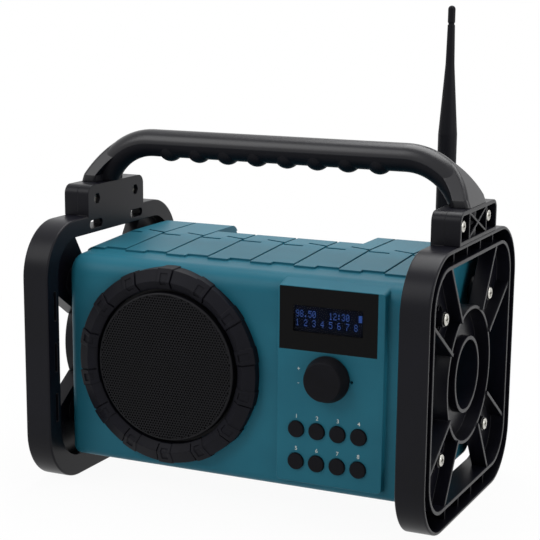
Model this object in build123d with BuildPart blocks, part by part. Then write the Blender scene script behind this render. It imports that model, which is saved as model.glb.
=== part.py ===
from build123d import *
import os
from math import asin, atan2, cos, degrees, hypot, radians, sin, sqrt

# Jobsite radio, in millimetres.
# X runs to the right as the front is looked at, Y runs to the rear and Z up.
# The origin is on the floor, under the hubs of the two side frames.

os.makedirs("parts", exist_ok=True)

# ---------------------------------------------------------------- driving sizes
# Side frames: moulded cages that carry and protect the body
frame_span = 305.0
frame_depth = 194.2
frame_overhang = 2.6
frame_height = 192.6
frame_thickness = 20.5
frame_corner = 39.0
frame_edge_round = 1.2
frame_wall = 2.2
frame_floor = 2.6
rim_inset_front = 12.4
rim_inset_rear = 9.8
rim_inset_top = 10.6
rim_inset_bottom = 13.5
rim_corner = 28.0
rim_recess = 0.8
channel_rib_pitch = 29.3
channel_rib_shift = 6.5
channel_rib_wall = 1.4
channel_rib_drop = 5.0
hub_ring_radius = 48.5
hub_ring_recess = 3.0
hub_tube_radius = 27.0
hub_bore_radius = 24.5
hub_tube_recess = 4.5
hub_dish_drop = 2.5
web_level = 9.8
web_rib_recess = 1.6
web_rib_foot_y = 23.7
web_rib_foot_z = 42.9
web_rib_tip_y = 49.4
web_rib_tip_z = 82.0
frame_screw_y = 49.15
frame_screw_z = 48.7
boss_radius = 5.2
boss_well_radius = 9.3
boss_well_depth = 5.0
boss_gussets = 6
slot_length = 18.0
slot_height = 6.2
side_slot_count = 3
side_slot_pitch = 37.6
side_slot_length = 22.0
side_slot_width = 3.4
side_slot_gap = 0.9
slot_y = 30.0
slot_drop = 6.6

# Bracket on top of each frame, with its outer clamp
bracket_width = 82.0
bracket_height = 22.4
bracket_corner = 7.0
upright_thickness = 9.4
clamp_wall = 2.5
clamp_web = 2.0
clamp_rib_y = 19.0
clamp_tube_wall = 1.5
clamp_screw_y = 28.3
clamp_screw_drop = 10.6
clamp_boss_height = 5.6
clamp_boss_radius = 5.0

# Handle: two moulded halves round one bent bar
handle_radius = 10.0
handle_wall = 2.5
handle_axis_rise = 29.7
handle_bend = 44.4
tongue_radius = 7.0
tongue_shift = -0.37
tongue_length = 19.0
foot_width = 39.0
foot_back = 3.0
foot_skirt = 5.0
foot_rise = 28.0
foot_crest = 3.0
foot_round = 3.0
bar_overrun = 12.0
bump_count = 8
bump_end_gap = 16.9
bump_shift = -2.6
bump_radius = 9.6
bump_depth = 3.0

# Body shells
body_front = -70.4
body_rear = 78.0
body_bottom = 19.0
body_top = 173.4
body_edge = 6.5
body_front_top_round = 14.0
body_slope_y = 18.0
body_slope_drop = 5.5
body_slope_round = 40.0
body_front_low_round = 6.6
body_rear_top_round = 9.0
body_heel_y = 58.0
body_heel_rise = 10.0
body_heel_round = 12.0
shell_wall = 3.2
parting_y = 22.0
plank_rise = 1.4
plank_pitch = 33.5
plank_gap = 1.8
plank_side_gap = 0.4
plank_front_long = -43.5
plank_front_short = -39.0
plank_drop_long = 7.0
plank_drop_short = 3.6
plank_seam_y = 18.0
plank_seam_skew = 5.5
plank_seam_gap = 3.0
recess_left_margin = 64.0
recess_right_margin = 79.0
recess_front = 40.0
recess_depth = 14.0
gasket_width = 1.4
gasket_depth = 1.6
tower_margin = 11.7
tower_low_z = 32.0
tower_high_z = 160.0
tower_radius = 4.5
pillar_radius = 5.5
pillar_length = 20.0
screw_end_gap = 2.0
# Shares of a screw's own head, the same for every screw.
head_round = 0.45
cross_length = 1.1
cross_width = 0.33
cross_depth = 0.7

# Control panel
panel_width = 79.5
panel_margin = 16.5
panel_low = 25.0
panel_high = 164.5
panel_rise = 5.0
panel_draft = 2.2
panel_top_slope = 2.6
panel_root = 8.0
panel_edge = 0.6
panel_round = 3.0
panel_wall = 3.0
window_width = 71.0
window_height = 43.4
window_shift = -1.85
window_z = 141.3
window_thickness = 1.5
lcd_view_width = 55.0
lcd_view_height = 21.4
lcd_shift = -2.05
lcd_z = 141.65
knob_shift = -1.25
knob_z = 101.8
knob_base_radius = 16.0
knob_face_radius = 13.4
knob_length = 10.5
knob_gap = 0.6
shaft_radius = 3.0
bushing_radius = 3.5
button_radius = 5.75
button_columns = 4
button_shift = -1.05
button_pitch = 15.23
button_high_z = 64.06
button_low_z = 41.2
button_rise = 1.8
button_travel = 0.8
mic_shift = 15.85
mic_z = 101.5
mic_hole_radius = 1.1
board_gap = 7.4
board_thickness = 1.6
board_margin = 6.0
post_radius = 2.5
lcd_post_radius = 2.0
lcd_board_margin = 5.0
encoder_size = 12.0
encoder_height = 5.5
switch_size = 6.0
switch_height = 3.4
plunger_radius = 1.6
plunger_reach = 0.4
button_flange = 1.1
button_flange_thickness = 1.0
mic_radius = 3.0

# Speaker
speaker_margin = 83.3
speaker_z = 96.3
speaker_hole_radius = 50.0
ring_outer_radius = 70.0
ring_inner_radius = 56.0
ring_crest_radius = 61.8
ring_rise = 10.3
ring_shoulder = 6.4
ring_lip = 6.0
ring_skirt = 8.0
ring_blocks = 14
block_start = 64.3
block_arc = 9.4
block_swell = 0.7
pocket_arc = 4.6
pocket_depth = 0.8
pocket_inner_radius = 59.4
pocket_outer_radius = 67.4
groove_arc = 0.9
groove_depth = 1.2
grille_gap = 2.4
grille_rise = 8.1
grille_edge = 1.4
grille_thickness = 1.2
cloth_thickness = 0.3
flange_radius = 57.0
magnet_radius = 32.0
magnet_height = 16.0
cone_depth = 19.0
coil_radius = 12.0
spoke_width = 12.0
speaker_screw_radius = 1.4
speaker_screw_head = 2.6
speaker_screw_length = 4.0

# Battery bay at the rear
cell_radius = 16.6
cell_length = 61.0
cell_nub_radius = 5.0
cell_nub_height = 1.5
cell_pitch = 34.5
bay_z = 86.0
bay_wall = 2.0
contact_size = 10.0
contact_thickness = 1.2
door_margin = 7.0
door_thickness = 2.4
hinge_radius = 2.9
pin_radius = 1.5
ear_width = 6.0
ear_margin = 8.0
door_rib_rise = 1.2
door_rib_width = 3.0
door_rib_pitch = 12.0
door_tab_width = 26.0
door_tab_height = 6.0
main_post_radius = 3.0
main_post_margin = 5.0
main_board_margin = 6.0
tuner_width = 38.0
tuner_height = 34.0
tuner_thickness = 4.0

# Sockets at the rear, behind a rubber cover
socket_margin = 30.0
socket_z = 80.0
socket_width = 28.0
socket_height = 36.0
aux_bore_radius = 1.8
aux_sleeve_radius = 3.5
aux_bore_length = 14.0
dc_bore_radius = 3.0
dc_sleeve_radius = 5.0
dc_bore_length = 9.0
dc_pin_radius = 1.05
jack_spacing = 18.0
aux_case = 10.0
dc_case = 12.0
panel_flange = 3.0
panel_flange_thickness = 2.5
cover_margin = 3.0
cover_thickness = 1.9
cover_gap = 0.1
cover_tab_width = 12.0
cover_strip_height = 6.0

# Antenna
antenna_margin = 32.7
antenna_z = 158.0
antenna_stand_off = 9.0
antenna_tip_z = 346.0
whip_radius = 7.0
whip_thin_radius = 3.3
whip_tip_radius = 2.7
whip_foot_gap = 15.2
whip_full_length = 80.0
whip_taper_length = 51.0
eye_radius = 4.5
eye_width = 6.0
knuckle_radius = 6.5
antenna_bushing_radius = 5.0

# Clearances and fasteners
running_gap = 0.05
side_gap = 0.3
fit_gap = 0.2
frame_screw_radius = 2.0
frame_screw_head = 4.3
clamp_screw_radius = 2.0
clamp_screw_head = 4.0
nut_flats = 7.0
nut_height = 3.2
nut_recess = 2.6
shell_screw_radius = 1.6
shell_screw_grip = 12.0
board_screw_radius = 1.0
board_screw_head = 2.0
board_screw_length = 6.0
head_height = 1.9

# ------------------------------------------------------------- derived places
frame_outer = frame_span / 2
frame_inner = frame_outer - frame_thickness
hub_z = frame_height / 2
frame_middle = (-frame_overhang / 2, 0)
rim_width = frame_depth - rim_inset_front - rim_inset_rear
rim_height = frame_height - rim_inset_top - rim_inset_bottom
rim_middle = ((rim_inset_front - rim_inset_rear - frame_overhang) / 2, (rim_inset_bottom - rim_inset_top) / 2)
screw_seat = web_level + 4.5
quarters = [(side_y, side_z) for side_y in (-1, 1) for side_z in (-1, 1)]
frame_screws_at = [(side_y * frame_screw_y, side_z * frame_screw_z) for side_y, side_z in quarters]

bracket_top = frame_height + bracket_height
seam_x = frame_inner + upright_thickness
clamp_thickness = frame_outer - seam_x
clamp_screw_z = bracket_top - clamp_screw_drop
handle_axis_z = bracket_top + handle_axis_rise
bend_centre_z = handle_axis_z - handle_bend
tongue_x = seam_x + tongue_shift
handle_straight = tongue_x - sqrt(handle_bend**2 - (bracket_top - bend_centre_z) ** 2)
bump_pitch = 2 * (handle_straight - bump_end_gap) / (bump_count - 1)

panel_face = body_front - panel_rise
panel_back = panel_face + panel_wall
front_wall_back = body_front + shell_wall
rear_wall_front = body_rear - shell_wall
board_front = panel_back + board_gap
board_back = board_front + board_thickness
panel_x = frame_inner - panel_margin - panel_width / 2
panel_z = (panel_low + panel_high) / 2
panel_height = panel_high - panel_low
window_x = panel_x + window_shift
lcd_x = panel_x + lcd_shift
knob_x = panel_x + knob_shift
mic_x = panel_x + mic_shift
speaker_x = speaker_margin - frame_inner
socket_x = socket_margin - frame_inner
antenna_x = frame_inner - antenna_margin
tower_x = frame_inner - tower_margin

frame_plane = Plane(origin=(frame_inner, 0, hub_z), x_dir=(0, 1, 0), z_dir=(1, 0, 0))
hub_plane = Plane(origin=(frame_inner, 0, hub_z), x_dir=(1, 0, 0), z_dir=(0, -1, 0))
hub_axis = Axis((frame_inner, 0, hub_z), (1, 0, 0))
speaker_plane = Plane(origin=(speaker_x, 0, speaker_z), x_dir=(1, 0, 0), z_dir=(0, 0, 1))
speaker_axis = Axis((speaker_x, 0, speaker_z), (0, 1, 0))


def facing_front(y):
    """A plane at depth y that looks to the front, with X to the right and Z up."""
    return Plane(origin=(0, y, 0), x_dir=(1, 0, 0), z_dir=(0, -1, 0))


def facing_rear(y):
    """A plane at depth y that looks to the rear, with X kept as its own first axis."""
    return Plane(origin=(0, y, 0), x_dir=(1, 0, 0), z_dir=(0, 1, 0))


# ------------------------------------------------------------------ side frames
# One moulding: an outer skin and an inner rim with a ribbed channel between them,
# a hub with a dish, and four corner webs that take the screws into the body.
rib_middle_y = (web_rib_foot_y + web_rib_tip_y) / 2
rib_middle_z = (web_rib_foot_z + web_rib_tip_z) / 2
rib_slope = degrees(atan2(web_rib_tip_z - web_rib_foot_z, web_rib_tip_y - web_rib_foot_y))
rib_reach = 2 * hypot(web_rib_tip_y - web_rib_foot_y, web_rib_tip_z - web_rib_foot_z)
web_far_y = 3 * web_rib_tip_y - 2 * web_rib_foot_y
web_far_z = 3 * web_rib_tip_z - 2 * web_rib_foot_z
web_outline = [
    (web_rib_foot_y, web_rib_foot_z),
    (web_far_y, web_far_z),
    (web_far_z, web_far_z),
    (web_far_z, web_far_y),
    (web_rib_foot_z, web_rib_foot_y),
]
rib_count = int((frame_depth - 2 * frame_corner) / channel_rib_pitch) + 1
rib_places = [(i - (rib_count - 1) / 2) * channel_rib_pitch + channel_rib_shift for i in range(rib_count)]
side_rib_places = [(i - side_slot_count / 2) * side_slot_pitch for i in range(side_slot_count + 1)]
side_slot_y = rim_width / 2 + side_slot_gap + side_slot_width / 2
side_slots_at = [
    (rim_middle[0] + side * side_slot_y, (i - (side_slot_count - 1) / 2) * side_slot_pitch)
    for side in (-1, 1)
    for i in range(side_slot_count)
]

with BuildPart() as side_frame_right:
    with BuildSketch(frame_plane):
        with Locations(frame_middle):
            RectangleRounded(frame_depth, frame_height, frame_corner)
    extrude(amount=frame_thickness)
    fillet(side_frame_right.edges().group_by(Axis.X)[0], frame_edge_round)
    fillet(side_frame_right.edges().group_by(Axis.X)[-1], frame_edge_round)
    with BuildSketch(frame_plane.offset(frame_floor)):
        with Locations(frame_middle):
            RectangleRounded(frame_depth - 2 * frame_wall, frame_height - 2 * frame_wall, frame_corner - frame_wall)
    extrude(amount=frame_thickness, mode=Mode.SUBTRACT)
    with BuildSketch(frame_plane):
        with Locations(rim_middle):
            RectangleRounded(rim_width, rim_height, rim_corner)
    extrude(amount=frame_floor, mode=Mode.SUBTRACT)
    with BuildSketch(frame_plane):
        with Locations(rim_middle):
            RectangleRounded(rim_width + frame_wall / 10, rim_height + frame_wall / 10, rim_corner)
            RectangleRounded(
                rim_width - 2 * frame_wall, rim_height - 2 * frame_wall, rim_corner - frame_wall, mode=Mode.SUBTRACT
            )
    extrude(amount=frame_thickness - rim_recess)
    # Cross ribs in the channel.
    with BuildSketch(frame_plane):
        with Locations(*[(place, 0) for place in rib_places]):
            Rectangle(channel_rib_wall, frame_height)
        with Locations(*[(0, place) for place in side_rib_places]):
            Rectangle(2 * frame_depth, channel_rib_wall)
        with Locations(frame_middle):
            RectangleRounded(
                frame_depth - frame_wall, frame_height - frame_wall, frame_corner - frame_wall / 2, mode=Mode.INTERSECT
            )
        with Locations(rim_middle):
            RectangleRounded(
                rim_width - frame_wall, rim_height - frame_wall, rim_corner - frame_wall / 2, mode=Mode.SUBTRACT
            )
    extrude(amount=frame_thickness - channel_rib_drop)
    # Corner webs with their two ribs each.
    with BuildSketch(frame_plane.offset(web_level - frame_wall)):
        for side_y, side_z in quarters:
            Polygon(*[(side_y * y, side_z * z) for y, z in web_outline], align=None)
        with Locations(rim_middle):
            RectangleRounded(
                rim_width - frame_wall, rim_height - frame_wall, rim_corner - frame_wall / 2, mode=Mode.INTERSECT
            )
        Circle(hub_ring_radius - frame_wall / 2, mode=Mode.SUBTRACT)
    extrude(amount=frame_wall)
    with BuildSketch(frame_plane.offset(web_level - frame_wall)):
        for side_y, side_z in quarters:
            with Locations((side_y * rib_middle_y, side_z * rib_middle_z)):
                Rectangle(rib_reach, frame_wall, rotation=side_y * side_z * rib_slope)
            with Locations((side_y * rib_middle_z, side_z * rib_middle_y)):
                Rectangle(rib_reach, frame_wall, rotation=side_y * side_z * (90 - rib_slope))
        with Locations(rim_middle):
            RectangleRounded(
                rim_width - frame_wall, rim_height - frame_wall, rim_corner - frame_wall / 2, mode=Mode.INTERSECT
            )
        Circle(hub_ring_radius - frame_wall / 2, mode=Mode.SUBTRACT)
    extrude(amount=frame_thickness - web_rib_recess - web_level + frame_wall)
    # Hub: ring wall, dished floor and tube.
    with BuildSketch(hub_plane):
        with Locations((0, hub_ring_radius - frame_wall)):
            Rectangle(frame_thickness - hub_ring_recess, frame_wall, align=(Align.MIN, Align.MIN))
        with Locations((0, hub_bore_radius)):
            Rectangle(
                frame_thickness - hub_tube_recess, hub_tube_radius - hub_bore_radius, align=(Align.MIN, Align.MIN)
            )
        Polygon(
            (web_level - frame_wall, hub_tube_radius - 1),
            (web_level, hub_tube_radius - 1),
            (web_level - hub_dish_drop, hub_ring_radius - frame_wall / 2),
            (web_level - hub_dish_drop - frame_wall, hub_ring_radius - frame_wall / 2),
            align=None,
        )
    revolve(axis=hub_axis)
    # Screw bosses in round wells with gussets.
    with BuildSketch(frame_plane.offset(web_level - boss_well_depth - frame_wall)):
        with Locations(*frame_screws_at):
            Circle(boss_well_radius + frame_wall)
    extrude(amount=boss_well_depth + frame_wall)
    with BuildSketch(frame_plane.offset(web_level - boss_well_depth)):
        with Locations(*frame_screws_at):
            Circle(boss_well_radius)
    extrude(amount=boss_well_depth, mode=Mode.SUBTRACT)
    with BuildSketch(frame_plane.offset(web_level - boss_well_depth)):
        with Locations(*frame_screws_at):
            with PolarLocations((boss_radius + boss_well_radius) / 2, boss_gussets):
                Rectangle(boss_well_radius - boss_radius + frame_wall, channel_rib_wall)
    extrude(amount=boss_well_depth - rim_recess)
    with BuildSketch(frame_plane):
        with Locations(*frame_screws_at):
            Circle(boss_radius)
    extrude(amount=screw_seat)
    with BuildSketch(frame_plane):
        with Locations(*frame_screws_at):
            Circle(frame_screw_radius + running_gap)
    extrude(amount=screw_seat, mode=Mode.SUBTRACT)
    # Two slots in the floor of the top channel, and three in each upright channel.
    with BuildSketch(frame_plane):
        with Locations((-slot_y, hub_z - slot_drop), (slot_y, hub_z - slot_drop)):
            SlotOverall(slot_length, slot_height)
        with Locations(*side_slots_at):
            SlotOverall(side_slot_length, side_slot_width, rotation=90)
    extrude(amount=frame_floor, mode=Mode.SUBTRACT)
    # Upright plate that the handle is clamped against.
    with BuildSketch(Plane(origin=(frame_inner, 0, frame_height), x_dir=(0, 1, 0), z_dir=(1, 0, 0))) as upright_face:
        Rectangle(bracket_width, 2 * bracket_height)
        fillet(upright_face.vertices().group_by(Axis.Y)[-1], bracket_corner)
        with Locations((0, -frame_wall)):
            Rectangle(bracket_width, 2 * bracket_height, align=(Align.CENTER, Align.MAX), mode=Mode.SUBTRACT)
    extrude(amount=upright_thickness)
    with BuildSketch(Plane.XY.offset(bracket_top)):
        with Locations((tongue_x, 0)):
            Circle(tongue_radius + fit_gap)
    extrude(amount=-tongue_length - fit_gap, mode=Mode.SUBTRACT)
    with BuildSketch(Plane(origin=(frame_inner, 0, clamp_screw_z), x_dir=(0, 1, 0), z_dir=(1, 0, 0))):
        with Locations((-clamp_screw_y, 0), (clamp_screw_y, 0)):
            Circle(clamp_screw_radius + running_gap)
    extrude(amount=upright_thickness, mode=Mode.SUBTRACT)
    with BuildSketch(Plane(origin=(frame_inner, 0, clamp_screw_z), x_dir=(0, 1, 0), z_dir=(1, 0, 0))):
        with Locations((-clamp_screw_y, 0), (clamp_screw_y, 0)):
            RegularPolygon(nut_flats / 2 + fit_gap, 6, major_radius=False)
    extrude(amount=nut_recess + nut_height, mode=Mode.SUBTRACT)
side_frame_right.part.label = "side_frame_right"
export_step(side_frame_right.part, "parts/side_frame_right.step")

with BuildPart() as side_frame_left:
    mirror(side_frame_right.part, about=Plane.YZ)
side_frame_left.part.label = "side_frame_left"
export_step(side_frame_left.part, "parts/side_frame_left.step")

# Outer clamps: boxes open to the outside, with a half tube for the handle tongue
# and crossed ribs over it. They stand on the frame and bolt to its upright.
seam_plane = Plane(origin=(seam_x, 0, frame_height), x_dir=(0, 1, 0), z_dir=(1, 0, 0))
cross_height = bracket_height - 2 * clamp_wall
cross_turn = degrees(atan2(cross_height, 2 * clamp_rib_y))
cross_reach = hypot(cross_height, 2 * clamp_rib_y)
clamp_screws_at = [(side * clamp_screw_y, bracket_height - clamp_screw_drop) for side in (-1, 1)]

with BuildPart() as handle_clamp_right:
    with BuildSketch(seam_plane) as clamp_face:
        Rectangle(bracket_width, bracket_height, align=(Align.CENTER, Align.MIN))
        fillet(clamp_face.vertices().group_by(Axis.Y)[-1], bracket_corner)
    extrude(amount=clamp_thickness)
    fillet(handle_clamp_right.edges().group_by(Axis.X)[-1], frame_edge_round / 2)
    with BuildSketch(seam_plane.offset(clamp_web)) as clamp_pocket:
        with Locations((0, clamp_wall)):
            Rectangle(bracket_width - 2 * clamp_wall, cross_height, align=(Align.CENTER, Align.MIN))
        fillet(clamp_pocket.vertices().group_by(Axis.Y)[-1], bracket_corner - clamp_wall)
    extrude(amount=clamp_thickness, mode=Mode.SUBTRACT)
    with BuildSketch(Plane.XY.offset(frame_height + clamp_wall / 2)):
        with Locations((tongue_x, 0)):
            Circle(tongue_radius + fit_gap + clamp_tube_wall)
        with Locations((seam_x, 0)):
            Rectangle(4 * clamp_thickness, bracket_width, align=(Align.MAX, Align.CENTER), mode=Mode.SUBTRACT)
    extrude(amount=bracket_height - clamp_wall)
    with BuildSketch(seam_plane):
        with Locations((-clamp_rib_y, clamp_wall / 2), (clamp_rib_y, clamp_wall / 2)):
            Rectangle(channel_rib_wall, bracket_height - clamp_wall, align=(Align.CENTER, Align.MIN))
    extrude(amount=clamp_thickness - rim_recess)
    with BuildSketch(seam_plane):
        with Locations((0, bracket_height / 2)):
            Rectangle(cross_reach, channel_rib_wall, rotation=cross_turn)
            Rectangle(cross_reach, channel_rib_wall, rotation=-cross_turn)
    extrude(amount=clamp_thickness - rim_recess)
    with BuildSketch(Plane.XY.offset(bracket_top)):
        with Locations((tongue_x, 0)):
            Circle(tongue_radius + fit_gap)
    extrude(amount=-tongue_length - fit_gap, mode=Mode.SUBTRACT)
    with BuildSketch(seam_plane):
        with Locations(*clamp_screws_at):
            Circle(clamp_boss_radius)
    extrude(amount=clamp_web + clamp_boss_height)
    with BuildSketch(seam_plane):
        with Locations(*clamp_screws_at):
            Circle(clamp_screw_radius + running_gap)
    extrude(amount=clamp_thickness, mode=Mode.SUBTRACT)
handle_clamp_right.part.label = "handle_clamp_right"
export_step(handle_clamp_right.part, "parts/handle_clamp_right.step")

with BuildPart() as handle_clamp_left:
    mirror(handle_clamp_right.part, about=Plane.YZ)
handle_clamp_left.part.label = "handle_clamp_left"
export_step(handle_clamp_left.part, "parts/handle_clamp_left.step")


def pan_screw(radius, head_radius, length):
    """A pan-head screw standing on its head's seat at the origin, shank down -Z, with a cross recess."""
    with BuildPart() as screw:
        Cylinder(head_radius, head_height, align=(Align.CENTER, Align.CENTER, Align.MIN))
        fillet(screw.edges().group_by(Axis.Z)[-1], head_round * head_height)
        Cylinder(radius, length, align=(Align.CENTER, Align.CENTER, Align.MAX))
        with Locations((0, 0, head_height)):
            Box(cross_length * head_radius, cross_width * head_radius, 2 * cross_depth * head_height, mode=Mode.SUBTRACT)
            Box(cross_width * head_radius, cross_length * head_radius, 2 * cross_depth * head_height, mode=Mode.SUBTRACT)
    return screw.part


# Fasteners of the frames and the bracket, one node for each kind.
frame_screw = pan_screw(frame_screw_radius, frame_screw_head, screw_seat + pillar_length - screw_end_gap)
with BuildPart() as frame_screws:
    for side in (-1, 1):
        for screw_y, screw_z in frame_screws_at:
            seat = Plane(
                origin=(side * (frame_inner + screw_seat), screw_y, hub_z + screw_z), x_dir=(0, 1, 0), z_dir=(side, 0, 0)
            )
            add(seat.location * frame_screw)
frame_screws.part.label = "frame_screws"
export_step(frame_screws.part, "parts/frame_screws.step")

clamp_seat = seam_x + clamp_web + clamp_boss_height
clamp_screw = pan_screw(clamp_screw_radius, clamp_screw_head, clamp_seat - frame_inner - nut_recess)
with BuildPart() as clamp_screws:
    for side in (-1, 1):
        for end in (-1, 1):
            seat = Plane(
                origin=(side * clamp_seat, end * clamp_screw_y, clamp_screw_z), x_dir=(0, 1, 0), z_dir=(side, 0, 0)
            )
            add(seat.location * clamp_screw)
clamp_screws.part.label = "clamp_screws"
export_step(clamp_screws.part, "parts/clamp_screws.step")

with BuildPart() as clamp_nuts:
    for side in (-1, 1):
        pocket_floor = Plane(
            origin=(side * (frame_inner + nut_recess), 0, clamp_screw_z), x_dir=(0, 1, 0), z_dir=(side, 0, 0)
        )
        with BuildSketch(pocket_floor):
            with Locations((-clamp_screw_y, 0), (clamp_screw_y, 0)):
                RegularPolygon(nut_flats / 2, 6, major_radius=False)
                Circle(clamp_screw_radius + running_gap, mode=Mode.SUBTRACT)
        extrude(amount=nut_height)
clamp_nuts.part.label = "clamp_nuts"
export_step(clamp_nuts.part, "parts/clamp_nuts.step")

# ----------------------------------------------------------------------- handle
# The bent bar with its feet and tongues, before it is parted into two halves.
bend_start = degrees(asin((bracket_top - bend_centre_z) / handle_bend))
bar_start = bend_start - bar_overrun
foot_bend = handle_bend + handle_radius

# A foot: its outer side goes on along the bend of the bar, and its flanks rise to a narrow crest.
with BuildPart() as handle_foot:
    with BuildSketch(facing_front(foot_width / 2)):
        with Locations((handle_straight, bend_centre_z)):
            Circle(foot_bend)
            Circle(handle_bend, mode=Mode.SUBTRACT)
        with Locations((tongue_x, bracket_top)):
            Rectangle(foot_back, foot_skirt, align=(Align.MAX, Align.MIN))
    extrude(amount=foot_width)
    with BuildSketch(Plane.YZ.offset(handle_straight)):
        with BuildLine():
            Polyline(
                (-foot_width / 2, bracket_top),
                (-foot_width / 2, bracket_top + foot_skirt),
                (-foot_crest, bracket_top + foot_rise),
                (foot_crest, bracket_top + foot_rise),
                (foot_width / 2, bracket_top + foot_skirt),
                (foot_width / 2, bracket_top),
                close=True,
            )
        make_face()
    extrude(amount=frame_outer, mode=Mode.INTERSECT)
    outer_edges = [
        edge
        for edge in handle_foot.edges()
        if abs((edge @ 0.5).Y) > foot_crest
        and hypot((edge @ 0.5).X - handle_straight, (edge @ 0.5).Z - bend_centre_z) > foot_bend - foot_round / 3
        and abs((edge @ 0).Z - (edge @ 1).Z) > foot_round
    ]
    fillet(outer_edges, foot_round)

with BuildPart() as handle_bar:
    with BuildLine(Plane.XZ) as bar_path:
        CenterArc((-handle_straight, bend_centre_z), handle_bend, 180 - bar_start, bar_start - 90)
        Line((-handle_straight, handle_axis_z), (handle_straight, handle_axis_z))
        CenterArc((handle_straight, bend_centre_z), handle_bend, 90, bar_start - 90)
    with BuildSketch(Plane(origin=bar_path.wire() @ 0, z_dir=bar_path.wire() % 0)):
        Circle(handle_radius)
    sweep(path=bar_path.wire())
    add(handle_foot.part)
    mirror(handle_foot.part, about=Plane.YZ)
    with BuildSketch(Plane.XY.offset(bracket_top)):
        Rectangle(2 * frame_span, 2 * bracket_width)
    extrude(amount=-2 * bracket_height, mode=Mode.SUBTRACT)
    for i in range(bump_count):
        bump_x = bump_shift + (i - (bump_count - 1) / 2) * bump_pitch
        with Locations((bump_x, 0, handle_axis_z - handle_radius - bump_depth + bump_radius)):
            Sphere(bump_radius)
    with BuildSketch(Plane.YZ.offset(-handle_straight)):
        with Locations((0, handle_axis_z)):
            Circle(handle_radius - handle_wall)
    extrude(amount=2 * handle_straight, mode=Mode.SUBTRACT)
    with BuildSketch(Plane.XY.offset(bracket_top)):
        with Locations((-tongue_x, 0), (tongue_x, 0)):
            Circle(tongue_radius)
    extrude(amount=-tongue_length)

# Everything on the outer side of the bar's middle surface, where the halves part.
far = frame_span
with BuildPart() as outer_side:
    with BuildSketch(Plane.XZ.offset(-bracket_width)):
        with BuildLine():
            Line((-tongue_x, frame_height - bracket_height), (-tongue_x, bracket_top))
            CenterArc((-handle_straight, bend_centre_z), handle_bend, 180 - bend_start, bend_start - 90)
            Line((-handle_straight, handle_axis_z), (handle_straight, handle_axis_z))
            CenterArc((handle_straight, bend_centre_z), handle_bend, 90, bend_start - 90)
            Polyline(
                (tongue_x, bracket_top),
                (tongue_x, frame_height - bracket_height),
                (far, frame_height - bracket_height),
                (far, far),
                (-far, far),
                (-far, frame_height - bracket_height),
                (-tongue_x, frame_height - bracket_height),
            )
        make_face()
    extrude(amount=2 * bracket_width)

with BuildPart() as handle_top_shell:
    add(handle_bar.part)
    add(outer_side.part, mode=Mode.INTERSECT)
handle_top_shell.part.label = "handle_top_shell"
export_step(handle_top_shell.part, "parts/handle_top_shell.step")

with BuildPart() as handle_grip:
    add(handle_bar.part)
    add(outer_side.part, mode=Mode.SUBTRACT)
handle_grip.part.label = "handle_grip"
export_step(handle_grip.part, "parts/handle_grip.step")


# ------------------------------------------------------------------ body shells
def body_form(inset):
    """The rounded block of the body, drawn in by an inset all round."""
    with BuildPart() as form:
        with BuildSketch(Plane.YZ.offset(inset - frame_inner)):
            with BuildLine():
                FilletPolyline(
                    (body_front + inset, body_bottom + inset),
                    (body_front + inset, body_top - body_slope_drop - inset),
                    (body_slope_y, body_top - inset),
                    (body_rear - inset, body_top - inset),
                    (body_rear - inset, body_bottom + body_heel_rise + inset),
                    (body_heel_y - inset / 2, body_bottom + inset),
                    radius=[
                        body_front_low_round - inset,
                        body_front_top_round - inset,
                        body_slope_round - inset,
                        body_rear_top_round - inset,
                        body_heel_round - inset,
                        body_heel_round - inset,
                    ],
                    close=True,
                )
            make_face()
        extrude(amount=2 * (frame_inner - inset))
        fillet(form.edges().group_by(Axis.X)[0], body_edge - inset)
        fillet(form.edges().group_by(Axis.X)[-1], body_edge - inset)
    return form.part


recess_width = 2 * frame_inner - recess_left_margin - recess_right_margin
recess_x = (recess_left_margin - recess_right_margin) / 2
half_pitch = plank_pitch / 2
plank_columns = int(frame_inner / half_pitch) + 1


def hand_recess(top):
    """The block taken out of the rear top edge, down from a given level."""
    with BuildPart() as block:
        with BuildSketch(Plane.XY.offset(top)):
            with Locations((recess_x, recess_front)):
                Rectangle(recess_width, body_rear, align=(Align.CENTER, Align.MIN))
        extrude(amount=body_top - recess_depth - top)
    return block.part


def form_before_parting():
    """The body's outer form in front of the parting plane, which the rear planks lap over."""
    with BuildPart() as front_form:
        add(body_form(0))
        with BuildSketch(facing_front(parting_y)):
            Rectangle(4 * frame_inner, 4 * body_top)
        extrude(amount=frame_depth, mode=Mode.INTERSECT)
    return front_form.part


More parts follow.
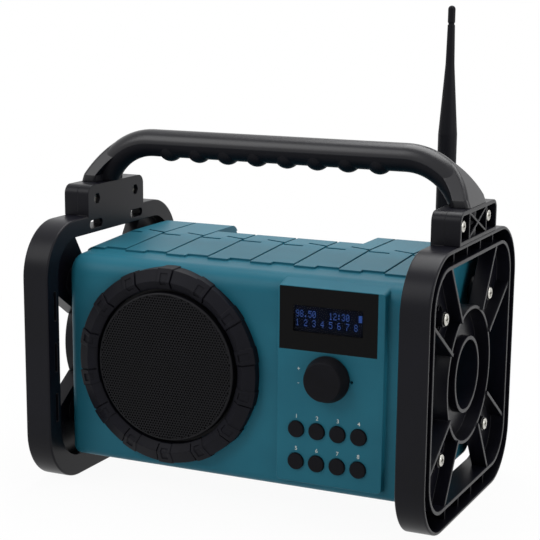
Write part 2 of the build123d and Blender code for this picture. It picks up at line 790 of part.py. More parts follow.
def planks(front_part):
    """Raised half columns between the grooves, in front of or behind the slanted seam."""
    with BuildPart() as plank_set:
        for column in range(-plank_columns, plank_columns):
            beside_groove = column % 2 == 0
            left = column * half_pitch + (plank_gap / 2 if beside_groove else 0)
            right = (column + 1) * half_pitch - (0 if beside_groove else plank_gap / 2)
            seam_left = plank_seam_y + (-1 if beside_groove else 1) * plank_seam_skew
            seam_right = plank_seam_y - (1 if beside_groove else 0) * plank_seam_skew
            front_end = plank_front_long if beside_groove else plank_front_short
            rear_drop = plank_drop_long if beside_groove else plank_drop_short
            with BuildSketch(Plane.XY.offset(body_top - (body_slope_drop + shell_wall if front_part else rear_drop))):
                if front_part:
                    Polygon(
                        (left, front_end),
                        (right, front_end),
                        (right, seam_right - plank_seam_gap / 2),
                        (left, seam_left - plank_seam_gap / 2),
                        align=None,
                    )
                else:
                    Polygon(
                        (left, seam_left + plank_seam_gap / 2),
                        (right, seam_right + plank_seam_gap / 2),
                        (right, 2 * body_rear),
                        (left, 2 * body_rear),
                        align=None,
                    )
            extrude(amount=body_slope_drop + shell_wall + 2 * plank_rise)
        add(body_form(-plank_rise), mode=Mode.INTERSECT)
        add(body_form(shell_wall / 2), mode=Mode.SUBTRACT)
        if not front_part:
            add(form_before_parting(), mode=Mode.SUBTRACT)
        with BuildSketch(Plane.XY.offset(body_bottom)):
            Rectangle(2 * (frame_inner - plank_side_gap), 2 * frame_depth)
        extrude(amount=frame_height, mode=Mode.INTERSECT)
    return plank_set.part


with BuildPart() as body_outer:
    add(body_form(0))
    add(hand_recess(body_top + plank_rise), mode=Mode.SUBTRACT)

with BuildPart() as body_cavity:
    add(body_form(shell_wall))
    with BuildSketch(Plane.XY.offset(body_top)):
        with Locations((recess_x, recess_front - shell_wall)):
            Rectangle(recess_width + 2 * shell_wall, body_rear, align=(Align.CENTER, Align.MIN))
    extrude(amount=-recess_depth - shell_wall, mode=Mode.SUBTRACT)

towers_at = [(side * tower_x, z) for side in (-1, 1) for z in (tower_low_z, tower_high_z)]
board_width = panel_width - 2 * panel_wall - board_margin / 2
board_low = panel_low + board_margin
board_high = window_z - window_height / 2 + lcd_board_margin
board_z = (board_low + board_high) / 2
board_height = board_high - board_low
board_post_x = board_width / 2 - 1.8 * post_radius
board_post_z = board_height / 2 - 1.2 * post_radius
board_posts_at = [(panel_x + side * board_post_x, board_z + end * board_post_z) for side, end in quarters]
lcd_board_width = lcd_view_width + 2 * lcd_board_margin
lcd_board_height = lcd_view_height + 2 * lcd_board_margin
lcd_post_x = (lcd_board_width - lcd_board_margin) / 2
lcd_post_z = (lcd_board_height - lcd_board_margin) / 2
lcd_posts_at = [(lcd_x + side * lcd_post_x, lcd_z + end * lcd_post_z) for side, end in quarters]
lcd_glass_back = panel_back + window_thickness
gasket_back = front_wall_back + 1
flange_back = gasket_back + 1.5
screw_ring = (speaker_hole_radius + flange_radius) / 2 * sqrt(0.5)
speaker_screws_at = [(speaker_x + side * screw_ring, speaker_z + end * screw_ring) for side, end in quarters]
button_x = panel_x + button_shift
buttons_at = [
    (button_x + (i - (button_columns - 1) / 2) * button_pitch, z)
    for z in (button_high_z, button_low_z)
    for i in range(button_columns)
]

# Towers for the shell screws, trimmed to the body's rounded front.
with BuildPart() as front_towers:
    with BuildSketch(facing_front(parting_y)):
        with Locations(*towers_at):
            Circle(tower_radius)
    extrude(amount=parting_y - front_wall_back)
    add(body_form(shell_wall / 2), mode=Mode.INTERSECT)
    with BuildSketch(facing_front(parting_y)):
        with Locations(*towers_at):
            Circle(shell_screw_radius + running_gap)
    extrude(amount=shell_screw_grip + screw_end_gap, mode=Mode.SUBTRACT)

with BuildPart() as front_shell:
    add(body_outer.part)
    add(body_cavity.part, mode=Mode.SUBTRACT)
    with BuildSketch(facing_rear(parting_y)):
        Rectangle(2 * frame_span, 2 * frame_span)
    extrude(amount=frame_depth, mode=Mode.SUBTRACT)
    add(planks(True))
    # Raised control panel with drafted sides and a sloping top, hollow from behind.
    with BuildSketch(facing_front(body_front + panel_root)):
        with Locations((panel_x, panel_z + panel_top_slope / 2)):
            RectangleRounded(panel_width, panel_height + panel_top_slope, panel_round)
    with BuildSketch(facing_front(panel_face)):
        with Locations((panel_x, panel_z)):
            RectangleRounded(panel_width - panel_draft, panel_height - panel_draft, panel_round)
    loft(ruled=True)
    fillet(front_shell.edges().group_by(Axis.Y)[0], panel_edge)
    add(body_cavity.part, mode=Mode.SUBTRACT)
    add(front_towers.part)
    with BuildSketch(facing_rear(panel_back)):
        with Locations((panel_x, -panel_z)):
            Rectangle(panel_width - 2 * panel_wall - panel_draft, panel_height - 2 * panel_wall - panel_draft)
    extrude(amount=front_wall_back - panel_back, mode=Mode.SUBTRACT)
    with BuildSketch(facing_front(panel_face)):
        with Locations((window_x, window_z)):
            Rectangle(window_width, window_height)
    extrude(amount=-window_thickness, mode=Mode.SUBTRACT)
    with BuildSketch(facing_front(panel_face)):
        with Locations((lcd_x, lcd_z)):
            Rectangle(lcd_view_width, lcd_view_height)
        with Locations((knob_x, knob_z)):
            Circle(bushing_radius + fit_gap)
        with Locations(*buttons_at):
            Circle(button_radius + fit_gap)
        with Locations((mic_x, mic_z)):
            Circle(mic_hole_radius)
    extrude(amount=-panel_wall, mode=Mode.SUBTRACT)
    with BuildSketch(facing_front(body_front)):
        with Locations((speaker_x, speaker_z)):
            Circle(speaker_hole_radius)
    extrude(amount=-shell_wall, mode=Mode.SUBTRACT)
    with BuildSketch(facing_front(flange_back)):
        with Locations(*speaker_screws_at):
            Circle(speaker_screw_radius)
    extrude(amount=speaker_screw_length, mode=Mode.SUBTRACT)
    # Posts for the boards and pillars for the frame screws.
    with BuildSketch(facing_front(board_front)):
        with Locations(*board_posts_at):
            Circle(post_radius)
            Circle(board_screw_radius, mode=Mode.SUBTRACT)
    extrude(amount=board_gap)
    with BuildSketch(facing_front(lcd_glass_back)):
        with Locations(*lcd_posts_at):
            Circle(lcd_post_radius)
    extrude(amount=lcd_glass_back - panel_back)
    for side in (-1, 1):
        wall_plane = Plane(origin=(side * (frame_inner - 1), 0, hub_z), x_dir=(0, 1, 0), z_dir=(-side, 0, 0))
        with BuildSketch(wall_plane):
            with Locations((-frame_screw_y, frame_screw_z * side), (-frame_screw_y, -frame_screw_z * side)):
                Circle(pillar_radius)
        extrude(amount=pillar_length)
        with BuildSketch(wall_plane.offset(-1)):
            with Locations((-frame_screw_y, frame_screw_z * side), (-frame_screw_y, -frame_screw_z * side)):
                Circle(frame_screw_radius + running_gap)
        extrude(amount=pillar_length, mode=Mode.SUBTRACT)
front_shell.part.label = "front_shell"
export_step(front_shell.part, "parts/front_shell.step")


def gasket_cord():
    """The square cord in the middle of the shell wall, set into the rear shell's parting face."""
    cord_inset = (shell_wall - gasket_width) / 2
    with BuildPart() as cord:
        with BuildSketch(facing_rear(parting_y)):
            with Locations((0, -(body_bottom + body_top) / 2)):
                RectangleRounded(
                    2 * (frame_inner - cord_inset), body_top - body_bottom - 2 * cord_inset, body_edge - cord_inset
                )
                RectangleRounded(
                    2 * (frame_inner - cord_inset - gasket_width),
                    body_top - body_bottom - 2 * (cord_inset + gasket_width),
                    body_edge - cord_inset - gasket_width,
                    mode=Mode.SUBTRACT,
                )
        extrude(amount=gasket_depth)
    return cord.part


# Battery bay sizes, shared by the rear shell, the tray and the door.
bay_half_width = cell_length + cell_nub_height + contact_thickness + fit_gap
bay_half_height = cell_pitch / 2 + cell_radius + fit_gap
bay_floor = rear_wall_front - 2 * cell_radius - 1
door_half_width = bay_half_width + door_margin
door_low = bay_z - bay_half_height - door_margin
door_high = bay_z + bay_half_height + 3
hinge_y = body_rear + hinge_radius + side_gap
hinge_z = door_high + 4
ear_x = bay_half_width - ear_margin
counterbore_y = parting_y + 12

with BuildPart() as rear_shell:
    add(body_outer.part)
    add(body_cavity.part, mode=Mode.SUBTRACT)
    with BuildSketch(facing_front(parting_y)):
        Rectangle(2 * frame_span, 2 * frame_span)
    extrude(amount=frame_depth, mode=Mode.SUBTRACT)
    # The rear planks lap over the front shell at the slanted seam.
    add(planks(False))
    add(hand_recess(body_top + plank_rise), mode=Mode.SUBTRACT)
    # Gasket groove in the parting face.
    add(gasket_cord(), mode=Mode.SUBTRACT)
    # Towers with deep counterbores for the shell screws.
    with BuildSketch(facing_rear(parting_y)):
        with Locations(*[(x, -z) for x, z in towers_at]):
            Circle(tower_radius + 1.5)
            Circle(shell_screw_radius + running_gap, mode=Mode.SUBTRACT)
    extrude(amount=rear_wall_front - parting_y)
    with BuildSketch(facing_rear(counterbore_y)):
        with Locations(*[(x, -z) for x, z in towers_at]):
            Circle(tower_radius - fit_gap)
    extrude(amount=body_rear, mode=Mode.SUBTRACT)
    for side in (-1, 1):
        wall_plane = Plane(origin=(side * (frame_inner - 1), 0, hub_z), x_dir=(0, 1, 0), z_dir=(-side, 0, 0))
        with BuildSketch(wall_plane):
            with Locations((frame_screw_y, frame_screw_z * side), (frame_screw_y, -frame_screw_z * side)):
                Circle(pillar_radius)
        extrude(amount=pillar_length)
        with BuildSketch(wall_plane.offset(-1)):
            with Locations((frame_screw_y, frame_screw_z * side), (frame_screw_y, -frame_screw_z * side)):
                Circle(frame_screw_radius + running_gap)
        extrude(amount=pillar_length, mode=Mode.SUBTRACT)
    # Openings for the battery bay, the sockets and the antenna bushing.
    with BuildSketch(facing_front(body_rear)):
        with Locations((0, bay_z)):
            Rectangle(2 * bay_half_width, 2 * bay_half_height)
        with Locations((socket_x, socket_z)):
            Rectangle(socket_width, socket_height)
        with Locations((antenna_x, antenna_z)):
            Circle(antenna_bushing_radius)
    extrude(amount=shell_wall, mode=Mode.SUBTRACT)
    # Hinge ears above the battery door.
    for side in (-1, 1):
        ear_plane = Plane(origin=(side * ear_x, hinge_y, hinge_z), x_dir=(0, 1, 0), z_dir=(1, 0, 0))
        with BuildSketch(ear_plane.offset(-ear_width / 2)):
            Circle(hinge_radius)
            Rectangle(hinge_y - body_rear, 2 * hinge_radius, align=(Align.MAX, Align.CENTER))
        extrude(amount=ear_width)
        with BuildSketch(ear_plane.offset(-ear_width / 2)):
            Circle(pin_radius)
        extrude(amount=ear_width, mode=Mode.SUBTRACT)
rear_shell.part.label = "rear_shell"
export_step(rear_shell.part, "parts/rear_shell.step")

with BuildPart() as shell_gasket:
    add(gasket_cord())
shell_gasket.part.label = "shell_gasket"
export_step(shell_gasket.part, "parts/shell_gasket.step")

shell_screw = pan_screw(shell_screw_radius, 2 * shell_screw_radius, counterbore_y - parting_y + shell_screw_grip)
with BuildPart() as shell_screws:
    for x, z in towers_at:
        seat = Plane(origin=(x, counterbore_y, z), x_dir=(1, 0, 0), z_dir=(0, 1, 0))
        add(seat.location * shell_screw)
shell_screws.part.label = "shell_screws"
export_step(shell_screws.part, "parts/shell_screws.step")

# ---------------------------------------------------------------------- speaker
# Rubber bumper ring like a small tyre. Each tread block stands proud of it, with a
# pocket over its crest and a groove along one side.
outer_slope = (ring_rise - ring_shoulder) / (ring_outer_radius - ring_crest_radius)
inner_slope = (ring_rise - ring_lip) / (ring_crest_radius - ring_inner_radius)


def ring_plane(angle):
    """The plane through the speaker's axis at an angle: x runs outwards and y to the rear."""
    turn = radians(angle)
    return Plane(origin=(speaker_x, 0, speaker_z), x_dir=(cos(turn), 0, sin(turn)), z_dir=(-sin(turn), 0, cos(turn)))


def tread_outline(swell):
    """The ring's section, grown by a swell outwards and to the front."""
    Polygon(
        (ring_inner_radius, body_front),
        (ring_crest_radius, body_front),
        (ring_crest_radius, body_front + ring_skirt),
        (ring_outer_radius + swell, body_front + ring_skirt),
        (ring_outer_radius + swell, body_front - ring_shoulder),
        (ring_crest_radius, body_front - ring_rise - swell),
        (ring_inner_radius, body_front - ring_lip - swell),
        align=None,
    )


def tread_cut(inner, outer, depth):
    """The space over the tread from one radius to another, down to a depth below its crest."""
    Polygon(
        (inner, body_front - ring_rise + depth + (ring_crest_radius - inner) * inner_slope),
        (ring_crest_radius, body_front - ring_rise + depth),
        (outer, body_front - ring_rise + depth + (outer - ring_crest_radius) * outer_slope),
        (outer, body_front - 2 * ring_rise),
        (inner, body_front - 2 * ring_rise),
        align=None,
    )


with BuildPart() as speaker_ring:
    with BuildSketch(ring_plane(0)):
        tread_outline(0)
    revolve(axis=speaker_axis)
    for i in range(ring_blocks):
        block_middle = block_start + i * 360 / ring_blocks
        with BuildSketch(ring_plane(block_middle + block_arc / 2)):
            tread_outline(block_swell)
        revolve(axis=speaker_axis, revolution_arc=block_arc)
        with BuildSketch(ring_plane(block_middle + pocket_arc / 2)):
            tread_cut(pocket_inner_radius, pocket_outer_radius, pocket_depth - block_swell)
        revolve(axis=speaker_axis, revolution_arc=pocket_arc, mode=Mode.SUBTRACT)
        with BuildSketch(ring_plane(block_middle - block_arc / 2)):
            tread_cut(ring_inner_radius + groove_depth, ring_outer_radius + groove_depth, groove_depth)
        revolve(axis=speaker_axis, revolution_arc=groove_arc, mode=Mode.SUBTRACT)
    # The skirt follows the rounded top edge of the body.
    add(body_form(0), mode=Mode.SUBTRACT)
speaker_ring.part.label = "speaker_ring"
export_step(speaker_ring.part, "parts/speaker_ring.step")

# Grille: a pressed sheet cup that stands on the shell inside the ring.
grille_radius = ring_inner_radius - grille_gap
with BuildPart() as speaker_grille:
    with BuildSketch(speaker_plane):
        Polygon(
            (0, body_front - grille_rise),
            (0, body_front - grille_rise + grille_thickness),
            (grille_radius - grille_thickness, body_front - grille_rise + grille_thickness),
            (grille_radius - grille_thickness, body_front),
            (grille_radius, body_front),
            (grille_radius, body_front - grille_rise),
            align=None,
        )
    revolve(axis=speaker_axis)
    fillet(speaker_grille.edges().group_by(Axis.Y)[0], grille_edge)
speaker_grille.part.label = "speaker_grille"
export_step(speaker_grille.part, "parts/speaker_grille.step")

with BuildPart() as grille_cloth:
    with BuildSketch(facing_rear(body_front - grille_rise + grille_thickness)):
        with Locations((speaker_x, -speaker_z)):
            Circle(grille_radius - grille_thickness)
    extrude(amount=cloth_thickness)
grille_cloth.part.label = "grille_cloth"
export_step(grille_cloth.part, "parts/grille_cloth.step")

magnet_front = gasket_back + cone_depth + 7
with BuildPart() as speaker_gasket:
    with BuildSketch(facing_rear(front_wall_back)):
        with Locations((speaker_x, -speaker_z)):
            Circle(flange_radius)
            Circle(speaker_hole_radius, mode=Mode.SUBTRACT)
        with Locations(*[(x, -z) for x, z in speaker_screws_at]):
            Circle(speaker_screw_radius, mode=Mode.SUBTRACT)
    extrude(amount=gasket_back - front_wall_back)
speaker_gasket.part.label = "speaker_gasket"
export_step(speaker_gasket.part, "parts/speaker_gasket.step")

with BuildPart() as speaker_basket:
    with BuildSketch(speaker_plane):
        Polygon(
            (flange_radius, gasket_back),
            (flange_radius, flange_back),
            (speaker_hole_radius - 1, flange_back),
            (magnet_radius, magnet_front - 1.5),
            (magnet_radius, magnet_front),
            (coil_radius + 2, magnet_front),
            (coil_radius + 2, magnet_front - 1.5),
            (magnet_radius - 2, magnet_front - 1.5),
            (speaker_hole_radius - 3, gasket_back),
            align=None,
        )
    revolve(axis=speaker_axis)
    with BuildSketch(facing_rear(flange_back + 3)):
        with Locations((speaker_x, -speaker_z)):
            Circle(speaker_hole_radius)
            Circle(magnet_radius + 2, mode=Mode.SUBTRACT)
            Rectangle(2 * speaker_hole_radius, spoke_width, mode=Mode.SUBTRACT)
            Rectangle(spoke_width, 2 * speaker_hole_radius, mode=Mode.SUBTRACT)
    extrude(amount=cone_depth, mode=Mode.SUBTRACT)
    with BuildSketch(facing_front(flange_back)):
        with Locations(*speaker_screws_at):
            Circle(speaker_screw_radius)
    extrude(amount=flange_back - gasket_back, mode=Mode.SUBTRACT)
speaker_basket.part.label = "speaker_basket"
export_step(speaker_basket.part, "parts/speaker_basket.step")

with BuildPart() as speaker_magnet:
    with BuildSketch(facing_rear(magnet_front)):
        with Locations((speaker_x, -speaker_z)):
            Circle(magnet_radius)
    extrude(amount=magnet_height)
    fillet(speaker_magnet.edges().group_by(Axis.Y)[-1], 1.5)
speaker_magnet.part.label = "speaker_magnet"
export_step(speaker_magnet.part, "parts/speaker_magnet.step")

cone_neck = gasket_back + cone_depth
with BuildPart() as speaker_cone:
    with BuildSketch(speaker_plane):
        Polygon(
            (speaker_hole_radius - fit_gap, gasket_back - 0.8),
            (speaker_hole_radius - fit_gap, gasket_back),
            (speaker_hole_radius - 3.5, gasket_back),
            (coil_radius, cone_neck),
            (coil_radius, cone_neck - 1),
            (speaker_hole_radius - 4.5, gasket_back - 0.8),
            align=None,
        )
    revolve(axis=speaker_axis)
speaker_cone.part.label = "speaker_cone"
export_step(speaker_cone.part, "parts/speaker_cone.step")

with BuildPart() as dust_cap:
    with BuildSketch(speaker_plane):
        Polygon(
            (0, cone_neck - 5),
            (coil_radius / 2, cone_neck - 4),
            (coil_radius, cone_neck - 1),
            (coil_radius, cone_neck),
            (coil_radius / 2, cone_neck - 3),
            (0, cone_neck - 4),
            align=None,
        )
    revolve(axis=speaker_axis)
dust_cap.part.label = "dust_cap"
export_step(dust_cap.part, "parts/dust_cap.step")

with BuildPart() as voice_coil:
    with BuildSketch(facing_rear(cone_neck)):
        with Locations((speaker_x, -speaker_z)):
            Circle(coil_radius)
            Circle(coil_radius - 0.8, mode=Mode.SUBTRACT)
    extrude(amount=magnet_front - cone_neck)
voice_coil.part.label = "voice_coil"
export_step(voice_coil.part, "parts/voice_coil.step")

speaker_screw = pan_screw(speaker_screw_radius, speaker_screw_head, speaker_screw_length)
with BuildPart() as speaker_screws:
    for x, z in speaker_screws_at:
        seat = Plane(origin=(x, flange_back, z), x_dir=(1, 0, 0), z_dir=(0, 1, 0))
        add(seat.location * speaker_screw)
speaker_screws.part.label = "speaker_screws"
export_step(speaker_screws.part, "parts/speaker_screws.step")

# --------------------------------------------------------------- control panel
with BuildPart() as display_window:
    with BuildSketch(facing_front(panel_face + window_thickness)):
        with Locations((window_x, window_z)):
            Rectangle(window_width, window_height)
    extrude(amount=window_thickness)
display_window.part.label = "display_window"
export_step(display_window.part, "parts/display_window.step")

with BuildPart() as lcd_module:
    with BuildSketch(facing_front(lcd_glass_back)):
        with Locations((lcd_x, lcd_z)):
            Rectangle(lcd_view_width - 2 * fit_gap, lcd_view_height - 2 * fit_gap)
    extrude(amount=lcd_glass_back - panel_face - window_thickness)
    with BuildSketch(facing_rear(lcd_glass_back)):
        with Locations((lcd_x, -lcd_z)):
            Rectangle(lcd_board_width, lcd_board_height)
    extrude(amount=board_thickness)
lcd_module.part.label = "lcd_module"
export_step(lcd_module.part, "parts/lcd_module.step")

with BuildPart() as control_board:
    with BuildSketch(facing_rear(board_front)):
        with Locations((panel_x, -board_z)):
            Rectangle(board_width, board_height)
        with Locations(*[(x, -z) for x, z in board_posts_at]):
            Circle(board_screw_radius + running_gap, mode=Mode.SUBTRACT)
    extrude(amount=board_thickness)
control_board.part.label = "control_board"
export_step(control_board.part, "parts/control_board.step")

knob_back = panel_face - knob_gap
knob_face = knob_back - knob_length
encoder_front = board_front - encoder_height
with BuildPart() as volume_encoder:
    with BuildSketch(facing_front(board_front)):
        with Locations((knob_x, knob_z)):
            Rectangle(encoder_size, encoder_size)
    extrude(amount=encoder_height)
    with BuildSketch(facing_front(encoder_front)):
        with Locations((knob_x, knob_z)):
            Circle(bushing_radius)
    extrude(amount=encoder_front - panel_face + fit_gap)
    with BuildSketch(facing_front(board_front - 1)):
        with Locations((knob_x, knob_z)):
            Circle(shaft_radius + running_gap)
    extrude(amount=knob_length + board_gap, mode=Mode.SUBTRACT)
volume_encoder.part.label = "volume_encoder"
export_step(volume_encoder.part, "parts/volume_encoder.step")

shaft_front = knob_face + 2.5
with BuildPart() as knob_shaft:
    with BuildSketch(facing_front(board_front - 1.3)):
        with Locations((knob_x, knob_z)):
            Circle(shaft_radius)
    extrude(amount=board_front - 1.3 - shaft_front)
knob_shaft.part.label = "knob_shaft"
export_step(knob_shaft.part, "parts/knob_shaft.step")

with BuildPart() as volume_knob:
    with BuildSketch(Plane(origin=(knob_x, 0, knob_z), x_dir=(1, 0, 0), z_dir=(0, 0, 1))):
        Polygon(
            (0, knob_back),
            (knob_base_radius, knob_back),
            (knob_base_radius, knob_back - 2),
            (knob_face_radius, knob_face),
            (0, knob_face),
            align=None,
        )
    revolve(axis=Axis((knob_x, 0, knob_z), (0, 1, 0)))
    fillet(volume_knob.edges().group_by(Axis.Y)[0], 1.2)
    with BuildSketch(facing_front(knob_back)):
        with Locations((knob_x, knob_z)):
            Circle(shaft_radius)
    extrude(amount=knob_back - shaft_front, mode=Mode.SUBTRACT)
volume_knob.part.label = "volume_knob"
export_step(volume_knob.part, "parts/volume_knob.step")

# Eight buttons: cap in its hole, flange behind the wall, plunger into the switch.
button_front = panel_face - button_rise
flange_front = panel_back + fit_gap
switch_front = board_front - switch_height
for number, (x, z) in enumerate(buttons_at, start=1):
    with BuildPart() as button:
        with BuildSketch(facing_front(flange_front)):
            with Locations((x, z)):
                Circle(button_radius)
        extrude(amount=flange_front - button_front)
        fillet(button.edges().group_by(Axis.Y)[0], 0.7)
        with BuildSketch(facing_rear(flange_front)):
            with Locations((x, -z)):
                Circle(button_radius + button_flange)
        extrude(amount=button_flange_thickness)
        with BuildSketch(facing_rear(flange_front + button_flange_thickness)):
            with Locations((x, -z)):
                Circle(plunger_radius)
        extrude(amount=switch_front + plunger_reach - flange_front - button_flange_thickness)
    button.part.label = f"button_{number}"
    export_step(button.part, f"parts/button_{number}.step")

with BuildPart() as tact_switches:
    with BuildSketch(facing_front(board_front)):
        with Locations(*buttons_at):
            Rectangle(switch_size, switch_size)
    extrude(amount=switch_height)
    with BuildSketch(facing_rear(switch_front)):
        with Locations(*[(x, -z) for x, z in buttons_at]):
            Circle(plunger_radius + fit_gap)
    extrude(amount=plunger_reach + button_travel + side_gap, mode=Mode.SUBTRACT)
tact_switches.part.label = "tact_switches"
export_step(tact_switches.part, "parts/tact_switches.step")

with BuildPart() as microphone:
    with BuildSketch(facing_front(board_front)):
        with Locations((mic_x, mic_z)):
            Circle(mic_radius)
    extrude(amount=board_gap)
microphone.part.label = "microphone"
export_step(microphone.part, "parts/microphone.step")

# ----------------------------------------------------------------- battery bay
tray_front = bay_floor - bay_wall
standoff = 6.0
main_board_back = tray_front - standoff
main_board_front = main_board_back - board_thickness
main_board_half_width = bay_half_width - main_board_margin
main_board_half_height = bay_half_height
main_post_x = main_board_half_width - main_post_margin
main_post_z = main_board_half_height - main_post_margin
main_posts_at = [(side * main_post_x, bay_z + end * main_post_z) for side, end in quarters]
with BuildPart() as battery_tray:
    with BuildSketch(facing_rear(tray_front)):
        with Locations((0, -bay_z)):
            Rectangle(2 * (bay_half_width + bay_wall), 2 * (bay_half_height + bay_wall))
    extrude(amount=rear_wall_front - tray_front)
    with BuildSketch(facing_rear(bay_floor)):
        with Locations((0, -bay_z)):
            Rectangle(2 * bay_half_width, 2 * bay_half_height)
    extrude(amount=rear_wall_front - bay_floor, mode=Mode.SUBTRACT)
    with BuildSketch(facing_front(tray_front)):
        with Locations(*main_posts_at):
            Circle(main_post_radius)
            Circle(board_screw_radius + running_gap, mode=Mode.SUBTRACT)
    extrude(amount=standoff)
battery_tray.part.label = "battery_tray"
export_step(battery_tray.part, "parts/battery_tray.step")

cell_y = bay_floor + cell_radius + fit_gap
with BuildPart() as battery_cells:
    for row in (-1, 1):
        for side in (-1, 1):
            cell_end = Plane(
                origin=(side * (cell_length + fit_gap / 2), cell_y, bay_z + row * cell_pitch / 2),
                x_dir=(0, 1, 0),
                z_dir=(-side, 0, 0),
            )
            with BuildSketch(cell_end):
                Circle(cell_radius)
            extrude(amount=cell_length)
            with BuildSketch(cell_end):
                Circle(cell_nub_radius)
            extrude(amount=-cell_nub_height)
battery_cells.part.label = "battery_cells"
export_step(battery_cells.part, "parts/battery_cells.step")

with BuildPart() as battery_contacts:
    for row in (-1, 1):
        for side in (-1, 1):
            contact_plane = Plane(
                origin=(side * bay_half_width, cell_y, bay_z + row * cell_pitch / 2),
                x_dir=(0, 1, 0),
                z_dir=(-side, 0, 0),
            )
            with BuildSketch(contact_plane):
                Rectangle(contact_size, contact_size)
            extrude(amount=contact_thickness)
battery_contacts.part.label = "battery_contacts"
export_step(battery_contacts.part, "parts/battery_contacts.step")

door_front = body_rear + side_gap
with BuildPart() as battery_door:
    with BuildSketch(facing_rear(door_front)) as door_outline:
        with Locations((0, -(door_low + door_high) / 2)):
            RectangleRounded(2 * door_half_width, door_high - door_low, 5)
    extrude(amount=door_thickness)
    # Ribs across the door, and a finger tab at the lower edge.
    with BuildSketch(facing_rear(door_front + door_thickness)):
        with Locations(*[(0, -bay_z + place * door_rib_pitch) for place in range(-2, 3)]):
            SlotOverall(2 * (door_half_width - door_rib_pitch), door_rib_width)
    extrude(amount=door_rib_rise)
    with BuildSketch(facing_rear(door_front)):
        with Locations((0, -door_low)):
            Rectangle(door_tab_width, door_tab_height)
    extrude(amount=door_thickness + door_rib_rise)
    # Hinge barrel between the ears, with its leaf.
    barrel_half = ear_x - ear_width / 2 - side_gap
    barrel_plane = Plane(origin=(-barrel_half, hinge_y, hinge_z), x_dir=(0, 1, 0), z_dir=(1, 0, 0))
    with BuildSketch(barrel_plane):
        Circle(hinge_radius)
        with Locations((door_front - hinge_y, 0)):
            Rectangle(door_thickness, hinge_z - door_high + 2, align=(Align.MIN, Align.MAX))
    extrude(amount=2 * barrel_half)
    with BuildSketch(barrel_plane):
        Circle(pin_radius + running_gap)
    extrude(amount=2 * barrel_half, mode=Mode.SUBTRACT)
battery_door.part.label = "battery_door"
export_step(battery_door.part, "parts/battery_door.step")

with BuildPart() as door_hinge_pin:
    pin_plane = Plane(origin=(-ear_x - ear_width / 2, hinge_y, hinge_z), x_dir=(0, 1, 0), z_dir=(1, 0, 0))
    with BuildSketch(pin_plane):
        Circle(pin_radius)
    extrude(amount=2 * ear_x + ear_width)
door_hinge_pin.part.label = "door_hinge_pin"
export_step(door_hinge_pin.part, "parts/door_hinge_pin.step")

with BuildPart() as main_board:
    with BuildSketch(facing_rear(main_board_front)):
        with Locations((0, -bay_z)):
            Rectangle(2 * main_board_half_width, 2 * main_board_half_height)
        with Locations(*[(x, -z) for x, z in main_posts_at]):
            Circle(board_screw_radius + running_gap, mode=Mode.SUBTRACT)
    extrude(amount=board_thickness)
main_board.part.label = "main_board"
export_step(main_board.part, "parts/main_board.step")

with BuildPart() as tuner_module:
    with BuildSketch(facing_front(main_board_front)):
        with Locations((main_board_half_width / 2, bay_z)):
            Rectangle(tuner_width, tuner_height)
    extrude(amount=tuner_thickness)
    fillet(tuner_module.edges().group_by(Axis.Y)[0], 0.6)
tuner_module.part.label = "tuner_module"
export_step(tuner_module.part, "parts/tuner_module.step")

board_screw = pan_screw(board_screw_radius, board_screw_head, board_screw_length)
with BuildPart() as board_screws:
    for x, z in board_posts_at:
        seat = Plane(origin=(x, board_back, z), x_dir=(1, 0, 0), z_dir=(0, 1, 0))
        add(seat.location * board_screw)
    for x, z in main_posts_at:
        seat = Plane(origin=(x, main_board_front, z), x_dir=(1, 0, 0), z_dir=(0, -1, 0))
        add(seat.location * board_screw)
board_screws.part.label = "board_screws"
export_step(board_screws.part, "parts/board_screws.step")

# --------------------------------------------------------------------- sockets
panel_inner = rear_wall_front - panel_flange_thickness
aux_z = socket_z + jack_spacing / 2
dc_z = socket_z - jack_spacing / 2
with BuildPart() as socket_panel:
    with BuildSketch(facing_front(body_rear)):
        with Locations((socket_x, socket_z)):
            Rectangle(socket_width, socket_height)
    extrude(amount=shell_wall)
    with BuildSketch(facing_front(rear_wall_front)):
        with Locations((socket_x, socket_z)):
            Rectangle(socket_width + 2 * panel_flange, socket_height + 2 * panel_flange)
    extrude(amount=rear_wall_front - panel_inner)
    with BuildSketch(facing_front(body_rear)):
        with Locations((socket_x, aux_z)):
            Circle(aux_sleeve_radius)
        with Locations((socket_x, dc_z)):
            Circle(dc_sleeve_radius)
    extrude(amount=shell_wall + rear_wall_front - panel_inner, mode=Mode.SUBTRACT)
socket_panel.part.label = "socket_panel"
export_step(socket_panel.part, "parts/socket_panel.step")

with BuildPart() as aux_jack:
    with BuildSketch(facing_front(body_rear)):
        with Locations((socket_x, aux_z)):
            Circle(aux_sleeve_radius)
    extrude(amount=aux_bore_length)
    with BuildSketch(facing_front(panel_inner)):
        with Locations((socket_x, aux_z)):
            Rectangle(aux_case, aux_case)
    extrude(amount=aux_bore_length)
    with BuildSketch(facing_front(body_rear)):
        with Locations((socket_x, aux_z)):
            Circle(aux_bore_radius)
    extrude(amount=aux_bore_length, mode=Mode.SUBTRACT)
aux_jack.part.label = "aux_jack"
export_step(aux_jack.part, "parts/aux_jack.step")

with BuildPart() as dc_jack:
    with BuildSketch(facing_front(body_rear)):
        with Locations((socket_x, dc_z)):
            Circle(dc_sleeve_radius)
    extrude(amount=dc_bore_length)
    with BuildSketch(facing_front(panel_inner)):
        with Locations((socket_x, dc_z)):
            Rectangle(dc_case, dc_case)
    extrude(amount=dc_bore_length)
    with BuildSketch(facing_front(body_rear)):
        with Locations((socket_x, dc_z)):
            Circle(dc_bore_radius)
            Circle(dc_pin_radius, mode=Mode.SUBTRACT)
    extrude(amount=dc_bore_length, mode=Mode.SUBTRACT)
dc_jack.part.label = "dc_jack"
export_step(dc_jack.part, "parts/dc_jack.step")

